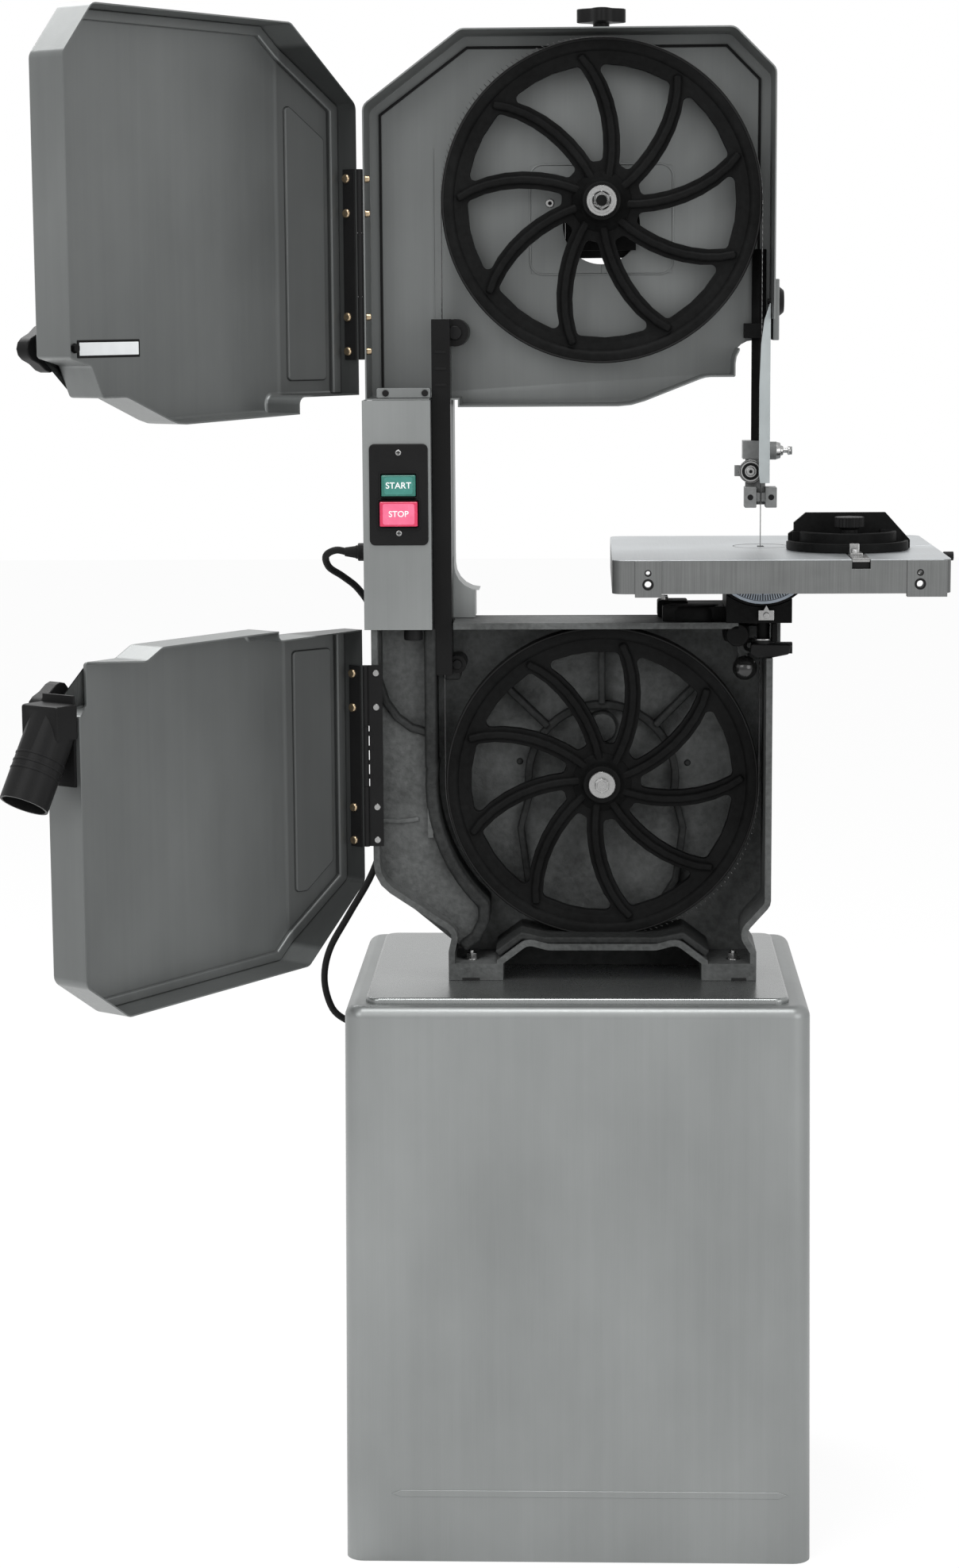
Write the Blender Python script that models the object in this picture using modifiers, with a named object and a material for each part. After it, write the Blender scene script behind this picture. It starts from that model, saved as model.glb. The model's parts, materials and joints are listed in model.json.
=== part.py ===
"""Band saw on a closed sheet stand, modelled as separate pieces at real size.

Metres, +Z up. X runs along the table front from the column to the right, Y runs
away from the operator, and the two band wheels turn in the plane Y = 0 about
X = 0. The whole saw hangs from one empty, which is moved at the end so that the
footprint is centred on the origin and the floor is Z = 0.
"""

import math

import bmesh
import bpy
from mathutils import Euler, Matrix, Vector

MM = 0.001

# Driving dimensions
CLEAR = 0.3 * MM  # between pieces that rest on each other
SHEET = 1.6 * MM

WHEEL_R = 175 * MM  # over the tyre
WHEEL_W = 26 * MM
WHEEL_GAP = 291 * MM  # between the two tyres
TYRE = 2.7 * MM
SPOKES = 9
SPOKE_SWEEP = math.radians(27)
SPOKE_W = 19 * MM
UPPER_SPOKE_START = math.radians(99.6)
LOWER_SPOKE_START = math.radians(3)

BLADE_T = 0.6 * MM
BLADE_W = 12.7 * MM
BLADE_GAP = 0.4 * MM

STAND_W = 508 * MM
STAND_D = 416 * MM
STAND_H = 632 * MM
STAND_FLARE = 5 * MM  # added to each side at the floor
STAND_X = -28 * MM
STAND_Y = 53 * MM
STAND_SHEET = 2 * MM
PLATFORM_W = 464 * MM
PLATFORM_D = 368 * MM
PLATFORM_Y = 45 * MM
PLATFORM_RISE = 6.5 * MM

WHEEL_ABOVE_PLATFORM = 44.5 * MM
WHEEL_TO_CASTING_TOP = 8 * MM
FRAME_LEFT = -(WHEEL_R + 83 * MM)
FRAME_RIGHT = WHEEL_R + 13 * MM
FRAME_FRONT = -47 * MM
FRAME_BACK = 45 * MM
CASTING_WALL = 7 * MM
FOOT_W = 61 * MM
FOOT_H = 19 * MM

THROAT_H = 245 * MM  # casting top to the underside of the upper housing
COLUMN_W = 91 * MM
COLUMN_D = 50 * MM
COVER_W = 75 * MM

HINGE_OUT = 4 * MM  # hinge axis outboard of the frame
HINGE_Y = -50 * MM
HINGE_R = 3.5 * MM
HINGE_PIN_R = 2 * MM
DOOR_DEPTH = 48 * MM
DOOR_OPEN = math.radians(125)
DOOR_SHEET = 1.5 * MM

TABLE_W = 356 * MM
TABLE_D = 353.5 * MM
TABLE_T = 35.6 * MM
TABLE_PLATE = 9 * MM
TABLE_Z_ABOVE_CASTING = 80.6 * MM
TABLE_LEFT_OF_BLADE = 165.5 * MM
TABLE_FRONT = -195.5 * MM
SLOT_W = 19.4 * MM
SLOT_DEPTH = 9.7 * MM
SLOT_FROM_BLADE = 95.5 * MM
INSERT_R = 30 * MM
INSERT_T = 3 * MM
TRUNNION_R = 62 * MM

SHAFT_R = 12.5 * MM
PULLEY_Y = 102 * MM
DRIVEN_R = 60 * MM
MOTOR_PULLEY_R = 32 * MM
BELT_W = 12.4 * MM
BELT_T = 8 * MM
MOTOR_Z = 300 * MM
MOTOR_R = 75 * MM

POST_R = 9 * MM
POST_Y = 28 * MM
LEAD_R = 4 * MM

# Worked out from the driving dimensions
PLATFORM_Z = STAND_H + PLATFORM_RISE
LOWER_Z = PLATFORM_Z + WHEEL_ABOVE_PLATFORM + WHEEL_R
UPPER_Z = LOWER_Z + 2 * WHEEL_R + WHEEL_GAP
CASTING_TOP = LOWER_Z + WHEEL_R + WHEEL_TO_CASTING_TOP
HOUSING_BOTTOM = CASTING_TOP + THROAT_H
HOUSING_TOP = UPPER_Z + WHEEL_R + 8 * MM
BLADE_R = WHEEL_R + BLADE_GAP
BLADE_X = BLADE_R + BLADE_T / 2
HINGE_X = FRAME_LEFT - HINGE_OUT
TABLE_Z = CASTING_TOP + TABLE_Z_ABOVE_CASTING
TABLE_X0 = BLADE_X - TABLE_LEFT_OF_BLADE
TABLE_X1 = TABLE_X0 + TABLE_W
TABLE_BACK = TABLE_FRONT + TABLE_D
SLOT_X = BLADE_X + SLOT_FROM_BLADE
POST_X = BLADE_X - 1.7 * MM
COLUMN_X0 = FRAME_LEFT + 2 * MM
COLUMN_Y0 = 14 * MM
COVER_X1 = FRAME_LEFT - 4 * MM + COVER_W

FRONT = (math.pi / 2, 0, 0)  # local XY to world XZ, local +Z towards the operator
SIDE = (0, math.pi / 2, 0)  # local +Z to world +X


# Scene, materials and modelling helpers


def clear_scene():
    for item in list(bpy.data.objects):
        bpy.data.objects.remove(item, do_unlink=True)


def collection(name):
    made = bpy.data.collections.new(name)
    bpy.context.scene.collection.children.link(made)
    return made


def material(name, colour, roughness, metallic):
    made = bpy.data.materials.new(name)
    made.use_nodes = True
    shader = made.node_tree.nodes["Principled BSDF"]
    shader.inputs["Base Color"].default_value = (*colour, 1)
    shader.inputs["Roughness"].default_value = roughness
    shader.inputs["Metallic"].default_value = metallic
    return made


clear_scene()
PARTS = collection("band_saw")
TOOLS = collection("cutters")
SAW = bpy.data.objects.new("band_saw_origin", None)
PARTS.objects.link(SAW)

SHEET_GREY = material("sheet_grey", (0.16, 0.17, 0.165), 0.42, 0.7)
SHEET_LIGHT = material("sheet_light", (0.30, 0.31, 0.31), 0.42, 0.6)
CAST_BLACK = material("cast_black", (0.022, 0.023, 0.023), 0.5, 0.2)
CAST_GREY = material("cast_grey", (0.055, 0.057, 0.056), 0.75, 0.1)
IRON_GROUND = material("iron_ground", (0.62, 0.65, 0.67), 0.3, 0.9)
STEEL_BRIGHT = material("steel_bright", (0.55, 0.56, 0.57), 0.25, 1.0)
STEEL_BLADE = material("steel_blade", (0.6, 0.61, 0.62), 0.3, 1.0)
ZINC_PALE = material("zinc_pale", (0.62, 0.67, 0.69), 0.4, 0.6)
PLASTIC_BLACK = material("plastic_black", (0.018, 0.018, 0.018), 0.55, 0.0)
RUBBER_BLACK = material("rubber_black", (0.02, 0.02, 0.02), 0.8, 0.0)
START_GREEN = material("start_green", (0.03, 0.3, 0.2), 0.35, 0.0)
STOP_RED = material("stop_red", (0.8, 0.06, 0.2), 0.35, 0.0)
MOTOR_PAINT = material("motor_paint", (0.05, 0.05, 0.055), 0.5, 0.1)


def place(name, mesh, finish, location=(0, 0, 0), rotation=(0, 0, 0), parent=None):
    """A named piece. With no finish it is a tool, kept out of renders."""
    item = bpy.data.objects.new(name, mesh)
    item.location = location
    item.rotation_euler = rotation
    item.parent = parent or SAW
    if finish is None:
        TOOLS.objects.link(item)
        item.hide_render = True
        item.display_type = "WIRE"
        return item
    PARTS.objects.link(item)
    mesh.materials.clear()
    mesh.materials.append(finish)
    mesh.shade_smooth()
    mesh.set_sharp_from_angle(angle=math.radians(35))
    return item


def mesh_from(name, build):
    shape = bmesh.new()
    build(shape)
    mesh = bpy.data.meshes.new(name)
    shape.to_mesh(mesh)
    shape.free()
    return mesh


def box(name, finish, x, y, z, parent=None, round_r=0, rotation=(0, 0, 0)):
    """A block between the given limits, with its origin at its middle."""
    size = Vector((x[1] - x[0], y[1] - y[0], z[1] - z[0]))

    def build(shape):
        bmesh.ops.create_cube(shape, size=1)
        bmesh.ops.scale(shape, vec=size, verts=shape.verts)

    middle = (sum(x) / 2, sum(y) / 2, sum(z) / 2)
    item = place(name, mesh_from(name, build), finish, middle, rotation, parent)
    if round_r:
        bevel = item.modifiers.new("edges", "BEVEL")
        bevel.width = round_r
        bevel.segments = 2
    return item


def rod(name, finish, start, end, radius, parent=None, sides=24, end_radius=None):
    """A round bar, or a cone, from start to end."""
    start, end = Vector(start), Vector(end)
    length = (end - start).length
    second = radius if end_radius is None else end_radius

    def build(shape):
        bmesh.ops.create_cone(
            shape, cap_ends=True, segments=sides, radius1=radius, radius2=second, depth=length
        )

    turn = (end - start).to_track_quat("Z", "Y").to_euler()
    return place(name, mesh_from(name, build), finish, (start + end) / 2, turn, parent)


def turned(name, finish, profile, location, rotation=FRONT, parent=None, steps=32, closed=True):
    """A profile of (radius, height) points turned about local Z; its outer side runs down."""
    mesh = bpy.data.meshes.new(name)
    count = len(profile)
    edges = [(i, i + 1) for i in range(count - 1)] + ([(count - 1, 0)] if closed else [])
    mesh.from_pydata([(r, 0, h) for r, h in profile], edges, [])
    item = place(name, mesh, finish, location, rotation, parent)
    screw = item.modifiers.new("turn", "SCREW")
    screw.steps = steps
    screw.render_steps = steps
    screw.use_merge_vertices = True
    screw.merge_threshold = 0.00001
    screw.use_smooth_shade = True
    return item


def ring(outer, inner, top, bottom):
    return [(inner, top), (outer, top), (outer, bottom), (inner, bottom)]


def solid_round(radius, top, bottom):
    return [(0, top), (radius, top), (radius, bottom), (0, bottom)]


def curve_mesh(name, loops, depth, fill="BOTH"):
    """A flat outline, with holes as further loops, extruded to depth about its plane."""
    curve = bpy.data.curves.new(name, "CURVE")
    curve.dimensions = "2D"
    curve.fill_mode = fill
    curve.extrude = depth / 2
    for loop in loops:
        spline = curve.splines.new("POLY")
        spline.points.add(len(loop) - 1)
        for point, (x, y) in zip(spline.points, loop):
            point.co = (x, y, 0, 1)
        spline.use_cyclic_u = True
    guide = bpy.data.objects.new(name + "_outline", curve)
    bpy.context.scene.collection.objects.link(guide)
    graph = bpy.context.evaluated_depsgraph_get()
    graph.update()
    mesh = bpy.data.meshes.new_from_object(guide.evaluated_get(graph))
    bpy.data.objects.remove(guide, do_unlink=True)
    shape = bmesh.new()
    shape.from_mesh(mesh)
    bmesh.ops.remove_doubles(shape, verts=shape.verts, dist=0.00001)
    bmesh.ops.recalc_face_normals(shape, faces=shape.faces)
    shape.to_mesh(mesh)
    shape.free()
    return mesh


def plate(name, finish, loops, y, location=(0, 0), parent=None):
    """A flat outline in XZ between two values of Y."""
    mesh = curve_mesh(name, loops, y[1] - y[0])
    return place(name, mesh, finish, (location[0], sum(y) / 2, location[1]), FRONT, parent)


def pan(name, finish, outline, y, wall, parent=None):
    """A sheet tray in XZ, open towards the first value of Y, with its outside on the outline."""
    back_first = y[0] > y[1]
    mesh = curve_mesh(name, [outline], abs(y[1] - y[0]), "FRONT" if back_first else "BACK")
    item = place(name, mesh, finish, (0, sum(y) / 2, 0), FRONT, parent)
    solid = item.modifiers.new("sheet", "SOLIDIFY")
    solid.thickness = wall
    solid.offset = -1
    solid.use_even_offset = True
    return item


def rounded(corners, step=math.radians(22)):
    """Outline through (x, y, radius) corners, with each radius as a fillet arc."""
    points = []
    for i, (x, y, radius) in enumerate(corners):
        here = Vector((x, y))
        if not radius:
            points.append((x, y))
            continue
        back = (Vector(corners[i - 1][:2]) - here).normalized()
        ahead = (Vector(corners[(i + 1) % len(corners)][:2]) - here).normalized()
        half = back.angle(ahead) / 2
        reach = radius / math.tan(half)
        centre = here + (back + ahead).normalized() * radius / math.sin(half)
        first = here + back * reach - centre
        last = here + ahead * reach - centre
        sweep = first.angle_signed(last)
        count = max(2, math.ceil(abs(sweep) / step))
        for k in range(count + 1):
            spoke = first.copy()
            spoke.rotate(Matrix.Rotation(-sweep * k / count, 2))
            points.append(tuple(centre + spoke))
    return points


def circle(x, y, radius, sides=32):
    turn = 2 * math.pi / sides
    return [(x + radius * math.cos(turn * i), y + radius * math.sin(turn * i)) for i in range(sides)]


def boolean(item, tool, operation):
    step = item.modifiers.new(tool.name, "BOOLEAN")
    step.object = tool
    step.operation = operation
    return item


def cut(item, tool):
    return boolean(item, tool, "DIFFERENCE")


def join(item, tool):
    return boolean(item, tool, "UNION")


def empty(name, location, rotation=(0, 0, 0)):
    axis = bpy.data.objects.new(name, None)
    axis.location = location
    axis.rotation_euler = rotation
    axis.parent = SAW
    PARTS.objects.link(axis)
    return axis


# Stand and drive


def half_stand(z):
    """Half the stand's width at a height: the sides flare towards the floor."""
    return STAND_W / 2 + STAND_FLARE * (1 - z / STAND_H)


def stand_cabinet():
    flange = 25 * MM

    def build(shape):
        made = bmesh.ops.create_cube(shape, size=1)
        size = (STAND_W, STAND_D, STAND_H)
        bmesh.ops.scale(shape, vec=size, verts=made["verts"])
        bmesh.ops.translate(shape, vec=(0, 0, STAND_H / 2), verts=made["verts"])
        flare = 2 * STAND_FLARE
        low = [v for v in shape.verts if v.co.z < STAND_H / 2]
        grow = (1 + flare / STAND_W, 1 + flare / STAND_D, 1)
        bmesh.ops.scale(shape, vec=grow, verts=low)
        upright = [e for e in shape.edges if abs(e.verts[0].co.z - e.verts[1].co.z) > STAND_H / 2]
        bmesh.ops.bevel(shape, geom=upright, offset=20 * MM, segments=3, affect="EDGES", profile=0.5)
        top = [f for f in shape.faces if f.normal.z > 0.9]
        edges = list({e for f in top for e in f.edges})
        bmesh.ops.bevel(shape, geom=edges, offset=14 * MM, segments=3, affect="EDGES", profile=0.5)
        bottom = [f for f in shape.faces if f.normal.z < -0.9]
        bmesh.ops.inset_region(shape, faces=bottom, thickness=flange, use_even_offset=True)
        bmesh.ops.delete(shape, geom=bottom, context="FACES")

    cabinet = place("stand_cabinet", mesh_from("stand_cabinet", build), SHEET_LIGHT, (STAND_X, STAND_Y, 0))
    sheet = cabinet.modifiers.new("sheet", "SOLIDIFY")
    sheet.thickness = STAND_SHEET
    sheet.offset = -1
    sheet.use_even_offset = True
    corner = 16 * MM
    x0, x1 = STAND_X - PLATFORM_W / 2, STAND_X + PLATFORM_W / 2
    y0, y1 = PLATFORM_Y - PLATFORM_D / 2, PLATFORM_Y + PLATFORM_D / 2
    outline = rounded([(x0, y0, corner), (x1, y0, corner), (x1, y1, corner), (x0, y1, corner)])
    height = PLATFORM_RISE + STAND_SHEET
    middle = (0, 0, PLATFORM_Z - height / 2)
    join(cabinet, place("platform", curve_mesh("platform", [outline], height), None, middle))
    slot_x = DRIVEN_R + 4 * MM
    slot_y = (PULLEY_Y - 12 * MM, PULLEY_Y + 12 * MM)
    cut(cabinet, box("belt_slot", None, (-slot_x, slot_x), slot_y, (STAND_H - 30 * MM, STAND_H + 30 * MM)))
    grommet_r = LEAD_R + 4 * MM
    hole_x = (STAND_X - STAND_W / 2 - 20 * MM, STAND_X - STAND_W / 2 + 20 * MM)
    y, z = LEAD_END[1], LEAD_END[2]
    cut(cabinet, rod("lead_hole", None, (hole_x[0], y, z), (hole_x[1], y, z), grommet_r + CLEAR))
    return cabinet


def stand_grommet():
    """A rubber bush in the cabinet's left wall, where the lead goes in."""
    y, z = LEAD_END[1], LEAD_END[2]
    wall = STAND_X - half_stand(z)
    bore = LEAD_R + CLEAR
    bush_r = LEAD_R + 4 * MM
    lip_r = LEAD_R + 7 * MM
    out, lip = wall - 4 * MM, wall - 0.6 * MM
    profile = [(bore, 0), (bush_r, 0), (bush_r, lip - wall - 6 * MM), (lip_r, lip - wall - 6 * MM)]
    profile = [
        (bore, 10 * MM),
        (bush_r, 10 * MM),
        (bush_r, lip - out),
        (lip_r, lip - out),
        (lip_r, 0),
        (bore, 0),
    ]
    turned("stand_grommet", RUBBER_BLACK, profile, (out, y, z), SIDE)


def motor():
    """Motor body, its foot and the shelf it is bolted to, from side to side of the stand."""
    shelf_z = MOTOR_Z - MOTOR_R - 18 * MM
    reach = half_stand(shelf_z) - STAND_SHEET - 2 * CLEAR
    front, back = -120 * MM, 84 * MM
    shelf = box(
        "motor_shelf",
        None,
        (STAND_X - reach, STAND_X + reach),
        (front, back),
        (shelf_z - 4 * MM, shelf_z),
    )
    body = rod("motor", MOTOR_PAINT, (0, front + 10 * MM, MOTOR_Z), (0, back, MOTOR_Z), MOTOR_R, sides=32)
    foot_x = 60 * MM
    foot = box(
        "motor_foot",
        None,
        (-foot_x, foot_x),
        (front + 40 * MM, back - 30 * MM),
        (shelf_z - 1 * MM, MOTOR_Z - 40 * MM),
    )
    join(body, foot)
    join(body, shelf)
    case_x = MOTOR_R - 10 * MM
    case = box("terminal_case", None, (-case_x - 30 * MM, -case_x), (-60 * MM, 30 * MM), (MOTOR_Z - 30 * MM, MOTOR_Z + 40 * MM))
    join(body, case)


def pulley_profile(radius, bore, shaft_top=None):
    """A rim with one groove for the belt, with local Z towards the operator."""
    half = BELT_W / 2 + CLEAR
    rim = half + 3.5 * MM
    floor = radius - BELT_T - 2 * MM
    outside = [(radius, rim), (radius, half), (floor, half), (floor, -half), (radius, -half), (radius, -rim)]
    if shaft_top is None:
        return [(bore, rim), *outside, (bore, -rim)]
    return [(0, shaft_top), (bore, shaft_top), (bore, rim), *outside, (0, -rim)]


def pulleys_and_belt():
    bore = SHAFT_R + CLEAR
    turned("driven_pulley", CAST_BLACK, pulley_profile(DRIVEN_R, bore), (0, PULLEY_Y, LOWER_Z))
    shaft_top = PULLEY_Y - 84 * MM - CLEAR
    profile = pulley_profile(MOTOR_PULLEY_R, 9 * MM, shaft_top)
    turned("motor_pulley", CAST_BLACK, profile, (0, PULLEY_Y, MOTOR_Z), closed=False)
    inner = belt_loop(DRIVEN_R - BELT_T - 2 * MM + CLEAR * 2, MOTOR_PULLEY_R - BELT_T - 2 * MM + CLEAR * 2)
    outer = belt_loop(DRIVEN_R - 2 * MM + CLEAR * 2, MOTOR_PULLEY_R - 2 * MM + CLEAR * 2)
    half = BELT_W / 2
    plate("drive_belt", RUBBER_BLACK, [outer, inner], (PULLEY_Y - half, PULLEY_Y + half))


def belt_loop(upper_r, lower_r, arc=20):
    """An open belt round the two pulleys: two arcs and the straight runs between them."""
    lean = math.asin((upper_r - lower_r) / (LOWER_Z - MOTOR_Z))
    points = []
    for k in range(arc + 1):
        turn = -lean + (math.pi + 2 * lean) * k / arc
        points.append((upper_r * math.cos(turn), LOWER_Z + upper_r * math.sin(turn)))
    for k in range(arc + 1):
        turn = math.pi + lean + (math.pi - 2 * lean) * k / arc
        points.append((lower_r * math.cos(turn), MOTOR_Z + lower_r * math.sin(turn)))
    return points


def belt_guard():
    """Sheet guard over the driven pulley, open at the bottom for the belt."""
    half, wall = DRIVEN_R + 24 * MM, SHEET
    low, high = PLATFORM_Z + CLEAR, LOWER_Z + DRIVEN_R + 38 * MM
    outline = rounded([(-half, low, 0), (half, low, 0), (half, high, 50 * MM), (-half, high, 50 * MM)])
    back = PULLEY_Y + 24 * MM
    guard = pan("belt_guard", PLASTIC_BLACK, outline, (FRAME_BACK + CLEAR, back), wall)
    mouth = half - wall * 2
    cut(guard, box("belt_mouth", None, (-mouth, mouth), (FRAME_BACK + 2 * MM, back - wall * 2), (low - 10 * MM, low + 10 * MM)))


# Frame


def base_casting():
    """Open-fronted cast base: rim wall, back wall, feet and the lower shaft's boss."""
    left, right = FRAME_LEFT + 3 * MM, FRAME_RIGHT
    floor, bottom = PLATFORM_Z + CLEAR, PLATFORM_Z + CLEAR + 33 * MM
    arch = LOWER_Z - WHEEL_R - CASTING_WALL - 3 * MM
    foot_out, foot_in = -left - 83 * MM, -left - 83 * MM - FOOT_W
    outline = rounded(
        [
            (left, CASTING_TOP, 0),
            (left, LOWER_Z - 108 * MM, 40 * MM),
            (-foot_out + 5 * MM, bottom + 20 * MM, 12 * MM),
            (-foot_out, bottom, 0),
            (-foot_out, floor, 0),
            (-foot_in, floor, 0),
            (-foot_in, floor + FOOT_H, 0),
            (-foot_in + 28 * MM, arch + 6 * MM, 12 * MM),
            (-foot_in + 50 * MM, arch, 30 * MM),
            (foot_in - 50 * MM, arch, 30 * MM),
            (foot_in - 28 * MM, arch + 6 * MM, 12 * MM),
            (foot_in, floor + FOOT_H, 0),
            (foot_in, floor, 0),
            (foot_out, floor, 0),
            (foot_out, bottom, 0),
            (foot_out - 13 * MM, bottom + 20 * MM, 12 * MM),
            (right, LOWER_Z - 134 * MM, 14 * MM),
            (right, CASTING_TOP, 0),
        ]
    )
    casting = pan("base_casting", CAST_GREY, outline, (FRAME_FRONT, FRAME_BACK), CASTING_WALL)
    for side in (-1, 1):
        x = sorted((side * foot_in, side * foot_out))
        join(casting, box(f"foot_{side}", None, x, (FRAME_FRONT, FRAME_BACK + 15 * MM), (floor, floor + FOOT_H)))
    boss = rod("shaft_boss", None, (0, 18 * MM, LOWER_Z), (0, 82 * MM, LOWER_Z), 38 * MM, sides=32)
    join(casting, boss)
    bore = BEARING_R + CLEAR
    cut(casting, rod("bearing_bore", None, (0, 0, LOWER_Z), (0, 100 * MM, LOWER_Z), bore, sides=32))
    rib_x = -WHEEL_R - 20 * MM
    rib = box("inner_rib", None, (rib_x, rib_x + 6 * MM), (-28 * MM, FRAME_BACK - 2 * MM), (LOWER_Z - 60 * MM, CASTING_TOP - 2 * MM))
    join(casting, rib)
    notch_y = (FRAME_FRONT - 10 * MM, COLUMN_Y0 + CLEAR)
    notch_x = (COVER_X1 - CLEAR, COLUMN_X0 + COLUMN_W + 1 * MM)
    cut(casting, box("casting_blade_notch", None, notch_x, notch_y, (CASTING_TOP - 20 * MM, CASTING_TOP + 10 * MM)))
    corner_x = (SUPPORT_X0 + 14 * MM, right + 20 * MM)
    cut(casting, box("lock_corner", None, corner_x, (FRAME_FRONT - 10 * MM, 30 * MM), (CASTING_TOP - 40 * MM, CASTING_TOP + 10 * MM)))
    return casting


BEARING_R = 26 * MM


def lower_bearing():
    profile = ring(BEARING_R, SHAFT_R + CLEAR, -24 * MM, -80 * MM)
    turned("lower_bearing", STEEL_BRIGHT, profile, (0, 0, LOWER_Z))


def column():
    x = (COLUMN_X0, COLUMN_X0 + COLUMN_W)
    y = (COLUMN_Y0, COLUMN_Y0 + COLUMN_D)
    tube = box("column", SHEET_LIGHT, x, y, (CASTING_TOP + CLEAR, HOUSING_BOTTOM - CLEAR), round_r=3 * MM)
    foot_w, foot_h, fillet = 23 * MM, 31 * MM, 28 * MM
    low = CASTING_TOP + CLEAR
    outline = rounded(
        [
            (x[1] - 4 * MM, low, 0),
            (x[1] + foot_w, low, 0),
            (x[1] + foot_w, low + foot_h, 0),
            (x[1], low + foot_h, fillet),
            (x[1], low + foot_h + fillet + 10 * MM, 0),
            (x[1] - 4 * MM, low + foot_h + fillet + 10 * MM, 0),
        ]
    )
    join(tube, plate("column_foot", None, [outline], (y[0], y[1])))


def column_cover():
    """Sheet channel in front of the column, with a window for the switch."""
    x = (FRAME_LEFT - 4 * MM, COVER_X1 - CLEAR)
    y = (-49 * MM, COLUMN_Y0 - 1 * MM)
    z = (CASTING_TOP - 7 * MM, HOUSING_BOTTOM - CLEAR)
    cover = box("column_cover", SHEET_LIGHT, x, y, z)
    inside = box(
        "cover_inside",
        None,
        (x[0] + SHEET, x[1] - SHEET),
        (y[0] + SHEET, y[1] + 20 * MM),
        (z[0] - 10 * MM, z[1] + 10 * MM),
    )
    cut(cover, inside)
    lip = (FRAME_FRONT - CLEAR, y[1] + 20 * MM)
    cut(cover, box("cover_step", None, (x[0] - 10 * MM, x[1] + 10 * MM), lip, (z[0] - 10 * MM, CASTING_TOP + CLEAR)))
    gap = CLEAR
    window = box(
        "switch_window",
        None,
        (SWITCH_X - SWITCH_BOX_W / 2 - gap, SWITCH_X + SWITCH_BOX_W / 2 + gap),
        (y[0] - 10 * MM, y[0] + 10 * MM),
        (SWITCH_Z - SWITCH_BOX_H / 2 - gap, SWITCH_Z + SWITCH_BOX_H / 2 + gap),
    )
    cut(cover, window)
    y0, z0 = LEAD_START[1], LEAD_START[2]
    cut(cover, rod("gland_hole", None, (x[0] - 10 * MM, y0, z0), (x[0] + 10 * MM, y0, z0), GLAND_R + CLEAR))


SWITCH_X = FRAME_LEFT + 35.5 * MM
SWITCH_Z = HOUSING_BOTTOM - 103 * MM
SWITCH_PLATE_W = 64.5 * MM
SWITCH_PLATE_H = 111 * MM
SWITCH_BOX_W = 50 * MM
SWITCH_BOX_H = 78 * MM
BUTTON_TRAVEL = 3 * MM
START_SIZE = (37.5 * MM, 23 * MM)
STOP_SIZE = (41.5 * MM, 27 * MM)
START_UP = 10 * MM  # button centres above the plate's middle
STOP_UP = -21 * MM


def switch_and_buttons():
    face = -52 * MM
    seat = -49 * MM - CLEAR
    x = (SWITCH_X - SWITCH_PLATE_W / 2, SWITCH_X + SWITCH_PLATE_W / 2)
    z = (SWITCH_Z - SWITCH_PLATE_H / 2, SWITCH_Z + SWITCH_PLATE_H / 2)
    corner = 6 * MM
    outline = rounded([(x[0], z[0], corner), (x[1], z[0], corner), (x[1], z[1], corner), (x[0], z[1], corner)])
    body = plate("switch_body", PLASTIC_BLACK, [outline], (face, seat))
    back = box(
        "switch_box",
        None,
        (SWITCH_X - SWITCH_BOX_W / 2, SWITCH_X + SWITCH_BOX_W / 2),
        (seat - 1 * MM, COLUMN_Y0 - CLEAR),
        (SWITCH_Z - SWITCH_BOX_H / 2, SWITCH_Z + SWITCH_BOX_H / 2),
    )
    join(body, back)
    for name, finish, size, up, proud in (
        ("start_button", START_GREEN, START_SIZE, START_UP, 2.5 * MM),
        ("stop_button", STOP_RED, STOP_SIZE, STOP_UP, 4.5 * MM),
    ):
        middle = SWITCH_Z + up
        half_w, half_h = size[0] / 2, size[1] / 2
        root = face + 14 * MM
        pocket = box(
            name + "_pocket",
            None,
            (SWITCH_X - half_w - 0.5 * MM, SWITCH_X + half_w + 0.5 * MM),
            (face - 5 * MM, root + BUTTON_TRAVEL + 0.5 * MM),
            (middle - half_h - 0.5 * MM, middle + half_h + 0.5 * MM),
        )
        cut(body, pocket)
        box(
            name,
            finish,
            (SWITCH_X - half_w, SWITCH_X + half_w),
            (face - proud, root),
            (middle - half_h, middle + half_h),
            round_r=0.8 * MM,
        )


CHANNEL_W = 20.4 * MM
CHANNEL_UP = 87 * MM  # above the housing's underside
CHANNEL_DOWN = 60 * MM  # below the casting's top


def blade_channel():
    """Guard round the blade's rising side, carried by a boss in the housing and one in the base."""
    x = (COVER_X1 + CLEAR, COVER_X1 + CLEAR + CHANNEL_W)
    y = (-25 * MM, COLUMN_Y0 - CLEAR)
    z = (CASTING_TOP - CHANNEL_DOWN, HOUSING_BOTTOM + CHANNEL_UP)
    channel = box("blade_channel", PLASTIC_BLACK, x, y, z)
    wall = 1.5 * MM
    bosses = (
        ("upper_boss", z[1] - 15 * MM, 15 * MM, FRAME_BACK - SHEET - CLEAR),
        ("lower_boss", z[0] + 10 * MM, 10 * MM, FRAME_BACK - CASTING_WALL - CLEAR),
    )
    for name, height, radius, back in bosses:
        centre = x[1] + 5 * MM
        join(channel, rod(name, None, (centre, -8 * MM, height), (centre, back, height), radius))
    inside = box(
        "channel_inside",
        None,
        (x[0] + wall, x[1] - wall),
        (y[0] + wall, y[1] + 20 * MM),
        (z[0] - 10 * MM, z[1] + 10 * MM),
    )
    cut(channel, inside)


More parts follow.
